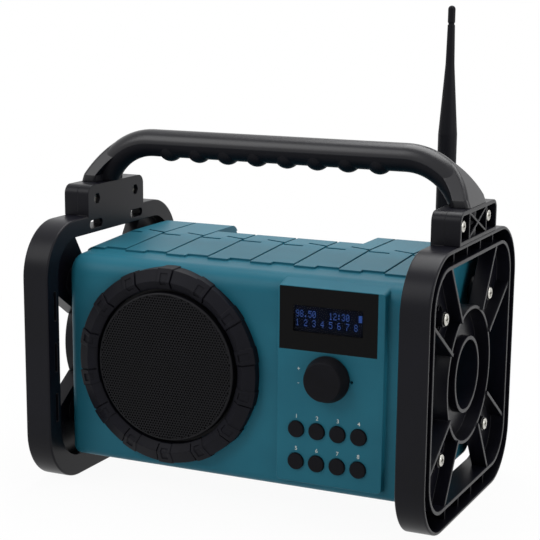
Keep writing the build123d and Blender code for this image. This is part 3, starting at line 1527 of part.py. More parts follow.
# Rubber cover: a flap that folds at its upper edge, and the strip that holds it.
flap_top = socket_z + socket_height / 2 + cover_margin
flap_low = socket_z - socket_height / 2 - cover_margin
cover_front = body_rear + cover_gap
with BuildPart() as socket_cover:
    with BuildSketch(facing_rear(cover_front)):
        with Locations((socket_x, -(flap_top + flap_low) / 2)):
            Rectangle(socket_width + 2 * cover_margin, flap_top - flap_low)
        with Locations((socket_x, -flap_low)):
            SlotOverall(cover_tab_width, 2 * cover_margin)
    extrude(amount=cover_thickness)
socket_cover.part.label = "socket_cover"
export_step(socket_cover.part, "parts/socket_cover.step")

with BuildPart() as cover_anchor:
    with BuildSketch(facing_rear(body_rear)):
        with Locations((socket_x, -flap_top - side_gap)):
            Rectangle(socket_width + 2 * cover_margin, cover_strip_height, align=(Align.CENTER, Align.MAX))
    extrude(amount=cover_thickness + cover_gap)
cover_anchor.part.label = "cover_anchor"
export_step(cover_anchor.part, "parts/cover_anchor.step")

# --------------------------------------------------------------------- antenna
# A bushing in the rear wall, a knuckle that turns in it, and a whip on a pin.
antenna_y = body_rear + antenna_stand_off
bushing_face = body_rear + 2
bushing_end = body_rear - 8
antenna_side = Plane(origin=(antenna_x, 0, antenna_z), x_dir=(1, 0, 0), z_dir=(0, 0, 1))
antenna_turn = Axis((antenna_x, 0, antenna_z), (0, 1, 0))
with BuildPart() as antenna_socket:
    with BuildSketch(facing_front(bushing_face)):
        with Locations((antenna_x, antenna_z)):
            Circle(knuckle_radius)
    extrude(amount=bushing_face - body_rear)
    with BuildSketch(facing_front(body_rear)):
        with Locations((antenna_x, antenna_z)):
            Circle(antenna_bushing_radius)
    extrude(amount=body_rear - bushing_end)
    with BuildSketch(facing_front(bushing_face)):
        with Locations((antenna_x, antenna_z)):
            Circle(shaft_radius + running_gap)
    extrude(amount=bushing_face - bushing_end, mode=Mode.SUBTRACT)
antenna_socket.part.label = "antenna_socket"
export_step(antenna_socket.part, "parts/antenna_socket.step")

with BuildPart() as antenna_nut:
    with BuildSketch(facing_front(rear_wall_front)):
        with Locations((antenna_x, antenna_z)):
            RegularPolygon(antenna_bushing_radius + 1.5, 6, major_radius=False)
            Circle(antenna_bushing_radius, mode=Mode.SUBTRACT)
    extrude(amount=3)
antenna_nut.part.label = "antenna_nut"
export_step(antenna_nut.part, "parts/antenna_nut.step")

disc_front = bushing_face + side_gap
disc_back = antenna_y - eye_radius - side_gap - 0.2
with BuildPart() as antenna_knuckle:
    with BuildSketch(antenna_side):
        Polygon(
            (0, bushing_end - 1.5),
            (shaft_radius + 1, bushing_end - 1.5),
            (shaft_radius + 1, bushing_end - side_gap),
            (shaft_radius, bushing_end - side_gap),
            (shaft_radius, disc_front),
            (knuckle_radius, disc_front),
            (knuckle_radius, disc_back),
            (0, disc_back),
            align=None,
        )
    revolve(axis=antenna_turn)
    for side in (-1, 1):
        ear_plane = Plane(
            origin=(antenna_x + side * (eye_width / 2 + side_gap), antenna_y, antenna_z), x_dir=(0, side, 0), z_dir=(side, 0, 0)
        )
        with BuildSketch(ear_plane):
            Circle(eye_radius + 1)
            Rectangle(antenna_y - disc_back + 0.5, 2 * eye_radius, align=(Align.MAX if side > 0 else Align.MIN, Align.CENTER))
            Circle(pin_radius, mode=Mode.SUBTRACT)
        extrude(amount=3)
antenna_knuckle.part.label = "antenna_knuckle"
export_step(antenna_knuckle.part, "parts/antenna_knuckle.step")

with BuildPart() as antenna_pin:
    pin_half = eye_width / 2 + side_gap + 3
    with BuildSketch(Plane(origin=(antenna_x - pin_half, antenna_y, antenna_z), x_dir=(0, 1, 0), z_dir=(1, 0, 0))):
        Circle(pin_radius)
    extrude(amount=2 * pin_half)
antenna_pin.part.label = "antenna_pin"
export_step(antenna_pin.part, "parts/antenna_pin.step")

whip_foot = antenna_z + whip_foot_gap
taper_start = whip_foot + whip_full_length
taper_end = taper_start + whip_taper_length
whip_side = Plane(origin=(antenna_x, antenna_y, 0), x_dir=(1, 0, 0), z_dir=(0, -1, 0))
with BuildPart() as antenna_whip:
    with BuildSketch(whip_side):
        with BuildLine():
            Polyline(
                (0, whip_foot),
                (whip_radius - 1, whip_foot),
                (whip_radius, whip_foot + 1),
                (whip_radius, taper_start),
                (whip_thin_radius, taper_end),
                (whip_tip_radius, antenna_tip_z - 14),
                (whip_tip_radius - 0.5, antenna_tip_z - 13.5),
                (whip_tip_radius - 0.5, antenna_tip_z - 12.5),
                (whip_tip_radius, antenna_tip_z - 12),
                (whip_tip_radius, antenna_tip_z - whip_tip_radius),
            )
            RadiusArc(
                (whip_tip_radius, antenna_tip_z - whip_tip_radius), (0, antenna_tip_z), -whip_tip_radius
            )
            Line((0, antenna_tip_z), (0, whip_foot))
        make_face()
    revolve(axis=Axis((antenna_x, antenna_y, 0), (0, 0, 1)))
    with BuildSketch(Plane(origin=(antenna_x - eye_width / 2, antenna_y, antenna_z), x_dir=(0, 1, 0), z_dir=(1, 0, 0))):
        Circle(eye_radius)
        Rectangle(2 * eye_radius, whip_foot_gap + 1, align=(Align.CENTER, Align.MIN))
        Circle(pin_radius + running_gap, mode=Mode.SUBTRACT)
    extrude(amount=eye_width)
antenna_whip.part.label = "antenna_whip"
export_step(antenna_whip.part, "parts/antenna_whip.step")
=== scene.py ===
from math import cos, pi, radians, sin, sqrt

import bpy
from mathutils import Matrix, Vector


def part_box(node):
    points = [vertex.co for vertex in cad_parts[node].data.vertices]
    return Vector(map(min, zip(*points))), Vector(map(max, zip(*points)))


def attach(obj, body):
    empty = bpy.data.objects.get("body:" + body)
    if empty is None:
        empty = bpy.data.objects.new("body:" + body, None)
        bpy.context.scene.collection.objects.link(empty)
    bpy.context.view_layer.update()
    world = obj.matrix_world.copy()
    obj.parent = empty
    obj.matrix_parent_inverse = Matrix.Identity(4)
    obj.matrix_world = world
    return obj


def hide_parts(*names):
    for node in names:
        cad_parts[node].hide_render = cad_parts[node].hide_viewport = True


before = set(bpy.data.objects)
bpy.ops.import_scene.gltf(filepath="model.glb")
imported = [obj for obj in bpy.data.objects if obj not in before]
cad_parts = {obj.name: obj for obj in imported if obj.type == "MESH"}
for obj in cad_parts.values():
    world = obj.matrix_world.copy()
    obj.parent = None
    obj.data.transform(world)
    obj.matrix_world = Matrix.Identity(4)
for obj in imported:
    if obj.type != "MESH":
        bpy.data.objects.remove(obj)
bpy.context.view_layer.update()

# ------------------------------------------------------------- body shells
# Front shell, rear shell and battery door, injection moulded in teal ABS. The
# mould is spark eroded, which leaves a fine even grain and a soft sheen.


def linear(hex_colour):
    """An sRGB hex value, such as "#2f7383", as the linear colour that a socket takes."""
    parts = [int(hex_colour[i : i + 2], 16) / 255 for i in (1, 3, 5)]
    return (*[p / 12.92 if p <= 0.04045 else ((p + 0.055) / 1.055) ** 2.4 for p in parts], 1.0)


def add_node(tree, kind, inputs=None, **settings):
    """Adds a node to a tree with its settings, its values and its links."""
    new = tree.nodes.new(kind)
    for name, value in settings.items():
        setattr(new, name, value)
    for name, value in (inputs or {}).items():
        if isinstance(value, bpy.types.NodeSocket):
            tree.links.new(value, new.inputs[name])
        else:
            new.inputs[name].default_value = value
    return new


def new_finish(name, **values):
    """A material whose Principled shader has these values on its own sockets."""
    material = bpy.data.materials.new(name)
    material.use_nodes = True
    tree = material.node_tree
    shader = tree.nodes["Principled BSDF"]
    for socket, value in values.items():
        shader.inputs[socket.replace("_", " ")].default_value = value
    return material, tree, shader


def grained_finish(name, shades, patch, grain, depth, edge, **values):
    """A finish that drifts between two shades in soft patches, with a fine grain, and with
    edges broken by a small radius. Patch, grain, depth and edge are in millimetres."""
    material, tree, shader = new_finish(name, **values)
    place = add_node(tree, "ShaderNodeTexCoord").outputs["Object"]
    patches = add_node(
        tree,
        "ShaderNodeTexNoise",
        {"Vector": place, "Scale": 1000 / patch, "Detail": 3.0, "Roughness": 0.55},
    )
    colour = add_node(tree, "ShaderNodeValToRGB", {"Fac": patches.outputs["Fac"]})
    for stop, position, shade in zip(colour.color_ramp.elements, (0.3, 0.7), shades):
        stop.position = position
        stop.color = linear(shade)
    tree.links.new(colour.outputs["Color"], shader.inputs["Base Color"])

    # A real grain of 0.1 to 0.3 mm is too fine to show, so most are drawn coarser.
    rounded = add_node(tree, "ShaderNodeBevel", {"Radius": edge / 1000}, samples=6)
    grains = add_node(tree, "ShaderNodeTexNoise", {"Vector": place, "Scale": 1000 / grain, "Detail": 2.0})
    bump = add_node(
        tree,
        "ShaderNodeBump",
        {
            "Strength": 0.35,
            "Distance": depth / 1000,
            "Height": grains.outputs["Fac"],
            "Normal": rounded.outputs["Normal"],
        },
    )
    tree.links.new(bump.outputs["Normal"], shader.inputs["Normal"])
    return material


def dress(material, *nodes):
    """Gives CAD nodes this material."""
    for name in nodes:
        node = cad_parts[name]
        if not node.material_slots:
            node.data.materials.append(material)
        for slot in node.material_slots:
            slot.material = material


teal_abs = grained_finish(
    "spark_eroded_teal_abs",
    ("#1b5f72", "#20687b"), patch=60, grain=0.8, depth=0.05, edge=0.7,
    Roughness=0.42, IOR=1.5, Specular_IOR_Level=0.15,
)
dress(teal_abs, "front_shell", "rear_shell", "battery_door")

# -------------------------------------------- gasket, screws and hinge pin
# A cord of grey foam rubber in the groove between the shells, the small steel
# screws that hold the shells together, and the pin of the battery door.

# Foam rubber is dull, and mottled by its pores.
foam_rubber = grained_finish(
    "grey_foam_rubber",
    ("#3a3a3c", "#4a4a4c"), patch=3, grain=0.5, depth=0.2, edge=0.2,
    Roughness=0.9,
)
dress(foam_rubber, "shell_gasket")

# Nickel plate has a warm shine, a little clouded.
nickel_plate = grained_finish(
    "nickel_plated_steel",
    ("#b4b2ab", "#cfcdc6"), patch=2, grain=0.6, depth=0.02, edge=0.25,
    Metallic=1.0, Roughness=0.3,
)
dress(nickel_plate, "shell_screws", "door_hinge_pin")

# -------------------------------------------------------- boards and power
# Two circuit boards with the tuner in its can, and four dry cells in a tray with
# sheet brass contacts, all inside the shells. Small screws hold the boards.

# Solder mask is a glossy green, with the low relief of the traces under it.
solder_mask = grained_finish(
    "green_solder_mask",
    ("#0d4a26", "#13602f"), patch=3, grain=1.2, depth=0.05, edge=0.1,
    Roughness=0.3,
)
dress(solder_mask, "control_board", "main_board")
dress(nickel_plate, "board_screws")

# Tinned steel is bright and cool, but not a mirror.
tinned_steel = grained_finish(
    "tinned_steel",
    ("#a9abad", "#c2c4c5"), patch=4, grain=0.5, depth=0.02, edge=0.3,
    Metallic=1.0, Roughness=0.35,
)
dress(tinned_steel, "tuner_module")

# Plated brass has a pale gold shine.
contact_brass = grained_finish(
    "nickel_brass_contact",
    ("#c2a86a", "#d6bf83"), patch=3, grain=0.5, depth=0.02, edge=0.2,
    Metallic=1.0, Roughness=0.3,
)
dress(contact_brass, "battery_contacts")

# The cells' film sleeve is printed a plain slate blue, and rather glossy.
cell_sleeve = grained_finish(
    "printed_cell_sleeve",
    ("#2c3a4a", "#324253"), patch=20, grain=0.6, depth=0.02, edge=0.5,
    Roughness=0.3,
)
dress(cell_sleeve, "battery_cells")

# Polypropylene from a satin mould draws long soft highlights along its edges.
satin_black = grained_finish(
    "satin_black_polypropylene",
    ("#08080e", "#0c0c14"), patch=45, grain=0.7, depth=0.04, edge=0.8,
    Roughness=0.33, IOR=1.49, Specular_IOR_Level=0.15,
)
dress(satin_black, "battery_tray", "tact_switches")

# ------------------------------------------------------ loudspeaker driver
# A pressed steel basket with a paper cone and cap, a copper coil and a ferrite
# magnet, screwed to the front shell on a foam gasket. The grille hides it.

# Pressed paper is dull and a little fibrous.
paper = grained_finish(
    "black_cone_paper",
    ("#0c0c0c", "#131312"), patch=4, grain=0.7, depth=0.1, edge=0.2,
    Roughness=0.95,
)
dress(paper, "speaker_cone", "dust_cap")

# Sintered ferrite is a dull dark grey.
ferrite = grained_finish(
    "sintered_ferrite",
    ("#2b2b2d", "#353537"), patch=5, grain=0.4, depth=0.05, edge=0.4,
    Roughness=0.6,
)
dress(ferrite, "speaker_magnet")

# Enamelled wire keeps the warm shine of copper.
copper = grained_finish(
    "enamelled_copper_wire",
    ("#b4613a", "#c97a4d"), patch=2, grain=0.3, depth=0.05, edge=0.1,
    Metallic=1.0, Roughness=0.35,
)
dress(copper, "voice_coil")

# Powder coat is an even black with a faint orange peel.
powder_coat = grained_finish(
    "black_powder_coat",
    ("#07070b", "#0a0a0f"), patch=20, grain=0.3, depth=0.03, edge=0.15,
    Roughness=0.5, Specular_IOR_Level=0.18,
)
dress(powder_coat, "speaker_basket")
dress(foam_rubber, "speaker_gasket")
dress(nickel_plate, "speaker_screws")

# ---------------------------------------------------------- speaker grille
# A shallow cup of perforated sheet steel, powder coated black, with a flange that
# lies on the shell inside the bumper ring. Its holes lie in a honeycomb, and black
# cloth is glued behind them.
grille_low, grille_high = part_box("speaker_grille")
grille_centre = (grille_low + grille_high) / 2
grille_radius = (grille_high.x - grille_low.x) / 2
hole_pitch = 0.0021
half_web = 0.00036
row_pair = hole_pitch * sqrt(3)
sheet_thickness = 0.0006
cup_wall = 2 * sheet_thickness
edge_round = 0.0014
plain_rim = 0.0006
flange_width = 0.0022
square_on = 0.999  # how straight a face looks back or forward, where 1 is exactly
lattice_radius = grille_radius - edge_round - plain_rim / 2
columns = int(grille_radius / hole_pitch) + 1
row_pairs = int(grille_radius / row_pair) + 1


def edit_faces(piece, wanted):
    """Opens the active piece in edit mode, with only these faces of it selected."""
    for face in piece.data.polygons:
        face.select = wanted(face)
    bpy.ops.object.mode_set(mode="EDIT")


def thicken(piece, wall, offset):
    """Gives the active piece a wall, centred on its sheet at offset 0 or inside it at -1."""
    solid = piece.modifiers.new("wall", "SOLIDIFY")
    solid.thickness = wall
    solid.offset = offset
    bpy.ops.object.modifier_apply(modifier=solid.name)


# The perforated face: one six-sided cell with its hole, repeated into a square of
# cells, which is then trimmed to a round.
bpy.ops.object.select_all(action="DESELECT")
bpy.ops.mesh.primitive_circle_add(vertices=6, radius=hole_pitch / sqrt(3), fill_type="NGON")
lattice = bpy.context.object
bpy.ops.object.mode_set(mode="EDIT")
bpy.ops.mesh.select_all(action="SELECT")
bpy.ops.mesh.inset(thickness=half_web)
bpy.ops.mesh.delete(type="FACE")
bpy.ops.object.mode_set(mode="OBJECT")
steps = (
    (2, (hole_pitch / 2, row_pair / 2, 0)),
    (2 * columns, (hole_pitch, 0, 0)),
    (2 * row_pairs, (0, row_pair, 0)),
)
for count, step in steps:
    row = lattice.modifiers.new("row", "ARRAY")
    row.count = count
    row.use_relative_offset = False
    row.use_constant_offset = True
    row.constant_offset_displace = step
    row.use_merge_vertices = True
    row.merge_threshold = half_web / 10
    bpy.ops.object.modifier_apply(modifier=row.name)
lattice_centre = Vector((columns * hole_pitch, row_pairs * row_pair, 0))
edit_faces(lattice, lambda face: (face.center - lattice_centre).length > lattice_radius)
bpy.ops.mesh.select_mode(type="FACE")
bpy.ops.mesh.delete(type="FACE")
bpy.ops.object.mode_set(mode="OBJECT")
lattice.location = grille_centre - Matrix.Rotation(pi / 2, 3, "X") @ lattice_centre
lattice.location.y = grille_low.y + sheet_thickness / 2
lattice.rotation_euler = (pi / 2, 0, 0)
bpy.ops.object.transform_apply()
thicken(lattice, sheet_thickness, offset=0)

# The cup: open behind, where its edge is drawn out into the flange, and rounded
# in front, where only a plain rim stays round the perforated face.
bpy.ops.object.select_all(action="DESELECT")
bpy.ops.mesh.primitive_cylinder_add(
    vertices=128,
    radius=grille_radius,
    depth=grille_high.y - grille_low.y - cup_wall,
    location=grille_centre - Vector((0, cup_wall / 2, 0)),
    rotation=(pi / 2, 0, 0),
)
grille = bpy.context.object
grille.name = "perforated_grille"
bpy.ops.object.transform_apply()
edit_faces(grille, lambda face: face.normal.y > square_on)
bpy.ops.mesh.delete(type="ONLY_FACE")
bpy.ops.mesh.select_all(action="DESELECT")
bpy.ops.mesh.select_mode(type="EDGE")
bpy.ops.mesh.select_non_manifold()
bpy.ops.mesh.extrude_edges_move()
flange_growth = (grille_radius + flange_width) / grille_radius
bpy.ops.transform.resize(value=(flange_growth, 1, flange_growth), center_override=grille_centre)
bpy.ops.mesh.select_mode(type="FACE")
bpy.ops.mesh.select_all(action="DESELECT")
bpy.ops.object.mode_set(mode="OBJECT")


def is_front(face):
    """The cup's flat front is the only face with many sides that looks straight forward."""
    return face.normal.y < -square_on and len(face.vertices) > 4


edit_faces(grille, is_front)
bpy.ops.mesh.bevel(offset=edge_round, segments=4, affect="EDGES")
bpy.ops.mesh.select_all(action="DESELECT")
bpy.ops.object.mode_set(mode="OBJECT")
edit_faces(grille, is_front)
bpy.ops.mesh.inset(thickness=plain_rim)
bpy.ops.mesh.delete(type="FACE")
bpy.ops.object.mode_set(mode="OBJECT")
thicken(grille, cup_wall, offset=-1)
lattice.select_set(True)
bpy.ops.object.join()
bpy.ops.object.shade_smooth_by_angle(angle=radians(30))
grille.data.materials.append(powder_coat)
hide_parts("speaker_grille")
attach(grille, "chassis")

# Woven cloth is dull and takes up nearly all light. A pad of it also covers the
# microphone.
woven_cloth = grained_finish(
    "black_woven_cloth",
    ("#060607", "#0c0c0d"), patch=1.2, grain=0.25, depth=0.1, edge=0.1,
    Roughness=1.0, Specular_IOR_Level=0.1,
)
dress(woven_cloth, "grille_cloth", "microphone")

# ------------------------------------------------------------- bumper ring
# A tyre of matte black rubber pressed round the grille, with a tread of blocks.
# The rubber scatters light softly, so it shows no sharp highlights.
tyre_rubber = grained_finish(
    "moulded_black_rubber",
    ("#08080f", "#0c0c14"), patch=12, grain=0.5, depth=0.06, edge=0.9,
    Roughness=0.55, Specular_IOR_Level=0.12,
)
dress(tyre_rubber, "speaker_ring")

# ---------------------------------------------------------- display window
# An acrylic plate glued into the panel, printed black on its back but for a clear
# field over the display. It is glossy, with faint smears about 17 mm across.
module_low, module_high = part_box("lcd_module")
window_low, window_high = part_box("display_window")
field_width = 0.0502
field_height = 0.0180
field_x = (module_low.x + module_high.x) / 2
field_z = (module_low.z + module_high.z) / 2
window_acrylic, tree, shader = new_finish(
    "black_printed_acrylic", Base_Color=linear("#030304"), IOR=1.49, Specular_IOR_Level=0.09
)
place = add_node(tree, "ShaderNodeTexCoord").outputs["Object"]
smears = add_node(tree, "ShaderNodeTexNoise", {"Vector": place, "Scale": 60.0, "Detail": 3.0})
haze = add_node(tree, "ShaderNodeMapRange", {"Value": smears.outputs["Fac"], "To Min": 0.1, "To Max": 0.22})
tree.links.new(haze.outputs["Result"], shader.inputs["Roughness"])
sides = add_node(tree, "ShaderNodeSeparateXYZ", {"Vector": place})
beside = add_node(
    tree, "ShaderNodeMath", {0: sides.outputs["X"], 1: field_x, 2: field_width / 2}, operation="COMPARE"
)
above = add_node(
    tree, "ShaderNodeMath", {0: sides.outputs["Z"], 1: field_z, 2: field_height / 2}, operation="COMPARE"
)
clear_field = add_node(
    tree, "ShaderNodeMath", {0: beside.outputs["Value"], 1: above.outputs["Value"]}, operation="MULTIPLY"
)
clear = add_node(tree, "ShaderNodeBsdfTransparent", {"Color": linear("#d8d8dc")})
sheen = add_node(tree, "ShaderNodeBsdfGlossy", {"Roughness": 0.08})
fresnel = add_node(tree, "ShaderNodeFresnel", {"IOR": 1.12})
pane = add_node(
    tree,
    "ShaderNodeMixShader",
    {"Fac": fresnel.outputs["Fac"], 1: clear.outputs["BSDF"], 2: sheen.outputs["BSDF"]},
)
whole = add_node(
    tree,
    "ShaderNodeMixShader",
    {"Fac": clear_field.outputs["Value"], 1: shader.outputs["BSDF"], 2: pane.outputs["Shader"]},
)
tree.links.new(whole.outputs["Shader"], tree.nodes["Material Output"].inputs["Surface"])
dress(window_acrylic, "display_window")

# ----------------------------------------------------------------- display
# A negative character display behind the window: nearly black glass with a touch of
# blue, on which the lit dots are clear film over a blue light. The dots stand in
# cells of 5 by 7, two lines of 16, and show only plain numbers and one bar.
display_glass = grained_finish(
    "negative_display_glass",
    ("#0b1220", "#0f182b"), patch=8, grain=0.4, depth=0.01, edge=0.1,
    Roughness=0.3, Specular_IOR_Level=0.05,
)
dress(display_glass, "lcd_module")

dot_pitch = 0.00048
dot_rise = 0.00068
dot_fill = 0.8
dot_thickness = 0.00003
cell_gap = 1.3 * dot_pitch
cell_width = 5 * dot_pitch + cell_gap
line_height = 0.0062
film_y = window_high.y - 2 * dot_thickness
lines = ("98.50   12:30  |", "1 2 3 4 5 6 7 8 ")
glyphs = {
    "0": ("01110", "10001", "10011", "10101", "11001", "10001", "01110"),
    "1": ("00100", "01100", "00100", "00100", "00100", "00100", "01110"),
    "2": ("01110", "10001", "00001", "00110", "01000", "10000", "11111"),
    "3": ("01110", "10001", "00001", "00110", "00001", "10001", "01110"),
    "4": ("00010", "00110", "01010", "10010", "11111", "00010", "00010"),
    "5": ("11111", "10000", "11110", "00001", "00001", "10001", "01110"),
    "6": ("01110", "10000", "10000", "11110", "10001", "10001", "01110"),
    "7": ("11111", "00001", "00010", "00100", "01000", "01000", "01000"),
    "8": ("01110", "10001", "10001", "01110", "10001", "10001", "01110"),
    "9": ("01110", "10001", "10001", "01111", "00001", "00001", "01110"),
    ".": ("00000", "00000", "00000", "00000", "00000", "01100", "01100"),
    ":": ("00000", "01100", "01100", "00000", "01100", "01100", "00000"),
    "|": ("11111", "11111", "11111", "11111", "11111", "11111", "11111"),
}


def from_middle(index, count):
    """How many steps the thing with this index stands past the middle of a row of them."""
    return index - (count - 1) / 2


def lit_places(character):
    """The lit dots of a character, as steps to the right and down from its middle."""
    glyph = glyphs.get(character, ())
    return [
        (from_middle(column, len(row)), from_middle(row_number, len(glyph)))
        for row_number, row in enumerate(glyph)
        for column, mark in enumerate(row)
        if mark == "1"
    ]


bpy.ops.object.select_all(action="DESELECT")
bpy.ops.mesh.primitive_plane_add(size=1, rotation=(pi / 2, 0, 0))
dot = bpy.context.object
dot.scale = (dot_pitch * dot_fill, dot_rise * dot_fill, 1)
bpy.ops.object.transform_apply()
thicken(dot, dot_thickness, offset=0)
dots = []
for line_number, line in enumerate(lines):
    line_z = field_z - from_middle(line_number, len(lines)) * line_height
    for cell_number, character in enumerate(line):
        cell_x = field_x + from_middle(cell_number, len(line)) * cell_width
        for right, down in lit_places(character):
            copy = dot.copy()
            copy.data = dot.data.copy()
            copy.location = (cell_x + right * dot_pitch, film_y, line_z - down * dot_rise)
            bpy.context.collection.objects.link(copy)
            dots.append(copy)
bpy.data.objects.remove(dot)
for copy in dots:
    copy.select_set(True)
bpy.context.view_layer.objects.active = dots[0]
bpy.ops.object.join()
characters = bpy.context.object
characters.name = "display_characters"
bpy.ops.object.transform_apply()

# The light behind the dots is a little uneven, over about 1 mm.
lit_dots, tree, shader = new_finish(
    "blue_display_light", Base_Color=linear("#20377a"), Roughness=0.4, Emission_Color=linear("#2f5cb0")
)
place = add_node(tree, "ShaderNodeTexCoord").outputs["Object"]
flicker = add_node(tree, "ShaderNodeTexNoise", {"Vector": place, "Scale": 900.0})
glow = add_node(tree, "ShaderNodeMapRange", {"Value": flicker.outputs["Fac"], "To Min": 0.7, "To Max": 1.0})
tree.links.new(glow.outputs["Result"], shader.inputs["Emission Strength"])
characters.data.materials.append(lit_dots)
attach(characters, "chassis")

# -------------------------------------------------------- knob and buttons
# The volume knob, pressed on its encoder's shaft, is ABS, and the eight caps on the
# switches are silicone rubber. A soft-touch coat makes both matte black, with a
# faint velvet sheen.
soft_touch = grained_finish(
    "soft_touch_coat",
    ("#06060a", "#0a0a10"), patch=10, grain=0.35, depth=0.03, edge=0.5,
    Roughness=0.6, Specular_IOR_Level=0.1, Sheen_Weight=0.01,
)
button_numbers = range(1, 9)
dress(soft_touch, "volume_knob", *[f"button_{number}" for number in button_numbers])
dress(nickel_plate, "knob_shaft")
dress(tinned_steel, "volume_encoder")

# ------------------------------------------------------------- panel print
# Pad-printed marks in warm white ink: a number over each button, and a plus and a
# minus beside the knob. The ink is matte, and stands a hair off the panel.
panel_front = window_low.y
ink_height = 0.00006
figure_share = 0.7  # a figure's height, as a share of the font's size
number_height = 0.0028
number_lift = 0.0022
sign_height = 0.0030
sign_rise = 0.0048
sign_reach = 0.0055
white_ink = grained_finish(
    "warm_white_ink",
    ("#c9cdc6", "#dfe2da"), patch=1.5, grain=0.3, depth=0.02, edge=0.05,
    Roughness=0.7,
)


def print_mark(words, x, z, height, name):
    """Prints a plain mark on the panel, centred on a point, with figures of this height."""
    bpy.ops.object.select_all(action="DESELECT")
    bpy.ops.object.text_add(location=(x, panel_front - ink_height, z), rotation=(pi / 2, 0, 0))
    mark = bpy.context.object
    mark.name = name
    mark.data.body = words
    mark.data.size = height / figure_share
    mark.data.align_x = "CENTER"
    mark.data.align_y = "CENTER"
    mark.data.extrude = ink_height
    bpy.ops.object.convert(target="MESH")
    bpy.ops.object.transform_apply()
    mark.data.materials.append(white_ink)
    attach(mark, "chassis")


for number in button_numbers:
    cap_low, cap_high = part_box(f"button_{number}")
    cap_x = (cap_low.x + cap_high.x) / 2
    print_mark(str(number), cap_x, cap_high.z + number_lift, number_height, f"print_{number}")
knob_low, knob_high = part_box("volume_knob")
knob_z = (knob_low.z + knob_high.z) / 2
sign_x = knob_low.x - sign_reach
print_mark("+", sign_x, knob_z + sign_rise, sign_height, "print_plus")
print_mark("-", sign_x, knob_z - sign_rise, sign_height, "print_minus")

# -------------------------------------------------- side frames and clamps
# Crash frames screwed to both ends of the body, and the clamps bolted on them that
# trap the handle. They are moulded in the same satin black as the battery tray.
dress(satin_black, "side_frame_left", "side_frame_right", "handle_clamp_left", "handle_clamp_right")
dress(nickel_plate, "frame_screws", "clamp_screws", "clamp_nuts")

# ------------------------------------------------------------------ handle
# The upper half of the handle comes from a polished mould, so it shines a little
# more than the frames. The inner half is overmoulded with soft matte rubber.
polished_black = grained_finish(
    "polished_black_polypropylene",
    ("#08080e", "#0c0c14"), patch=45, grain=0.9, depth=0.02, edge=0.8,
    Roughness=0.3, IOR=1.49, Specular_IOR_Level=0.38,
)
dress(polished_black, "handle_top_shell")

grip_rubber = grained_finish(
    "overmoulded_grip_rubber",
    ("#08080e", "#0d0d13"), patch=20, grain=0.5, depth=0.06, edge=0.8,
    Roughness=0.5, Specular_IOR_Level=0.12,
)
dress(grip_rubber, "handle_grip")

# ----------------------------------------------------- antenna and sockets
# A rubber whip that folds on a steel knuckle, and at the rear the panel of sockets
# with its rubber cover. Rubber and plastic are those of the handle and the frames.
dress(grip_rubber, "antenna_whip", "socket_cover", "cover_anchor")
dress(tinned_steel, "antenna_socket", "antenna_knuckle")
dress(nickel_plate, "antenna_nut", "antenna_pin")
dress(satin_black, "socket_panel", "aux_jack", "dc_jack")

# ------------------------------------------------------------------ studio
# A pale floor that runs into a white surround, and three large softboxes. Seen by
# the camera, floor and surround are white, and a little of the floor's own shade
# keeps the radio's shadow.
white = linear("#ffffff")


def seen_ray(tree):
    """1 for rays from the camera, off a gloss or through glass, and 0 for all others."""
    rays = add_node(tree, "ShaderNodeLightPath").outputs
    open_ray = add_node(
        tree, "ShaderNodeMath", {0: rays["Is Camera Ray"], 1: rays["Is Glossy Ray"]}, operation="MAXIMUM"
    ).outputs["Value"]
    return add_node(
        tree, "ShaderNodeMath", {0: open_ray, 1: rays["Is Transmission Ray"]}, operation="MAXIMUM"
    ).outputs["Value"]


bpy.ops.object.select_all(action="DESELECT")
bpy.ops.mesh.primitive_plane_add(size=12)
floor = bpy.context.object
floor.name = "floor"
pale_floor, tree, shader = new_finish(
    "pale_studio_floor", Base_Color=linear("#ececec"), Roughness=0.9, Specular_IOR_Level=0.1
)
place = add_node(tree, "ShaderNodeTexCoord").outputs["Object"]
distance = add_node(tree, "ShaderNodeVectorMath", {0: place}, operation="LENGTH")
whiter = add_node(
    tree,
    "ShaderNodeMapRange",
    {"Value": distance.outputs["Value"], "From Min": 0.2, "From Max": 0.7, "To Min": 0.95, "To Max": 1.0},
)
share = add_node(
    tree, "ShaderNodeMath", {0: seen_ray(tree), 1: whiter.outputs["Result"]}, operation="MULTIPLY"
)
glare = add_node(tree, "ShaderNodeEmission", {"Color": white, "Strength": 1.0})
mixed = add_node(
    tree,
    "ShaderNodeMixShader",
    {"Fac": share.outputs["Value"], 1: shader.outputs["BSDF"], 2: glare.outputs["Emission"]},
)
tree.links.new(mixed.outputs["Shader"], tree.nodes["Material Output"].inputs["Surface"])
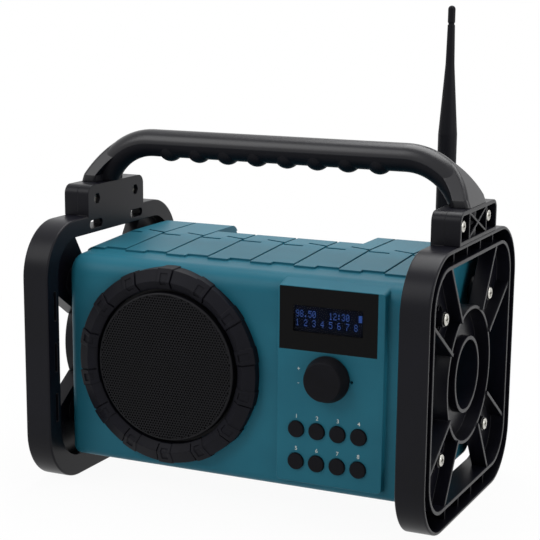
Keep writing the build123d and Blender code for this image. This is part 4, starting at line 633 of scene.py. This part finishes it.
floor.data.materials.append(pale_floor)

world = bpy.data.worlds.new("white_surround")
bpy.context.scene.world = world
world.use_nodes = True
tree = world.node_tree
ambient = tree.nodes["Background"]
ambient.inputs["Color"].default_value = white
ambient.inputs["Strength"].default_value = 0.2
backdrop = add_node(tree, "ShaderNodeBackground", {"Color": white, "Strength": 1.0})
mixed = add_node(
    tree,
    "ShaderNodeMixShader",
    {"Fac": seen_ray(tree), 1: ambient.outputs["Background"], 2: backdrop.outputs["Background"]},
)
tree.links.new(mixed.outputs["Shader"], tree.nodes["World Output"].inputs["Surface"])

radio_middle = Vector((0, 0, 0.12))


def soft_light(name, place, size, power):
    """A square softbox at a place, turned to the middle of the radio."""
    bpy.ops.object.light_add(type="AREA", location=place)
    lamp = bpy.context.object
    lamp.name = name
    lamp.data.shape = "SQUARE"
    lamp.data.size = size
    lamp.data.energy = power
    lamp.rotation_euler = (radio_middle - Vector(place)).to_track_quat("-Z", "Y").to_euler()


soft_light("key_softbox", place=(-1.1, -1.5, 1.7), size=1.4, power=20)
soft_light("top_softbox", place=(0.1, 0.6, 2.0), size=1.6, power=40)
soft_light("side_softbox", place=(1.9, -0.3, 0.9), size=1.0, power=12)

# ------------------------------------------------------------------ camera
# A long lens that looks down a little from the right. Its shift moves the radio to
# its place in the frame.
azimuth = radians(25.37)
elevation = radians(12.64)
roll = radians(0.39)
camera_place = (0.45786, -1.00531, 0.36644)
forward = Vector((-sin(azimuth) * cos(elevation), cos(azimuth) * cos(elevation), -sin(elevation)))
level = Vector((cos(azimuth), sin(azimuth), 0))
upright = level.cross(forward)
across = cos(roll) * level + sin(roll) * upright
upward = cos(roll) * upright - sin(roll) * level
bpy.ops.object.camera_add(location=camera_place)
camera = bpy.context.object
camera.data.sensor_width = 36.0
camera.data.lens = 102.95
camera.data.shift_x = 0.0355
camera.data.shift_y = 0.0953
camera.rotation_euler = Matrix((across, upward, -forward)).transposed().to_euler()
bpy.context.scene.camera = camera
bpy.context.scene.view_settings.view_transform = "Standard"
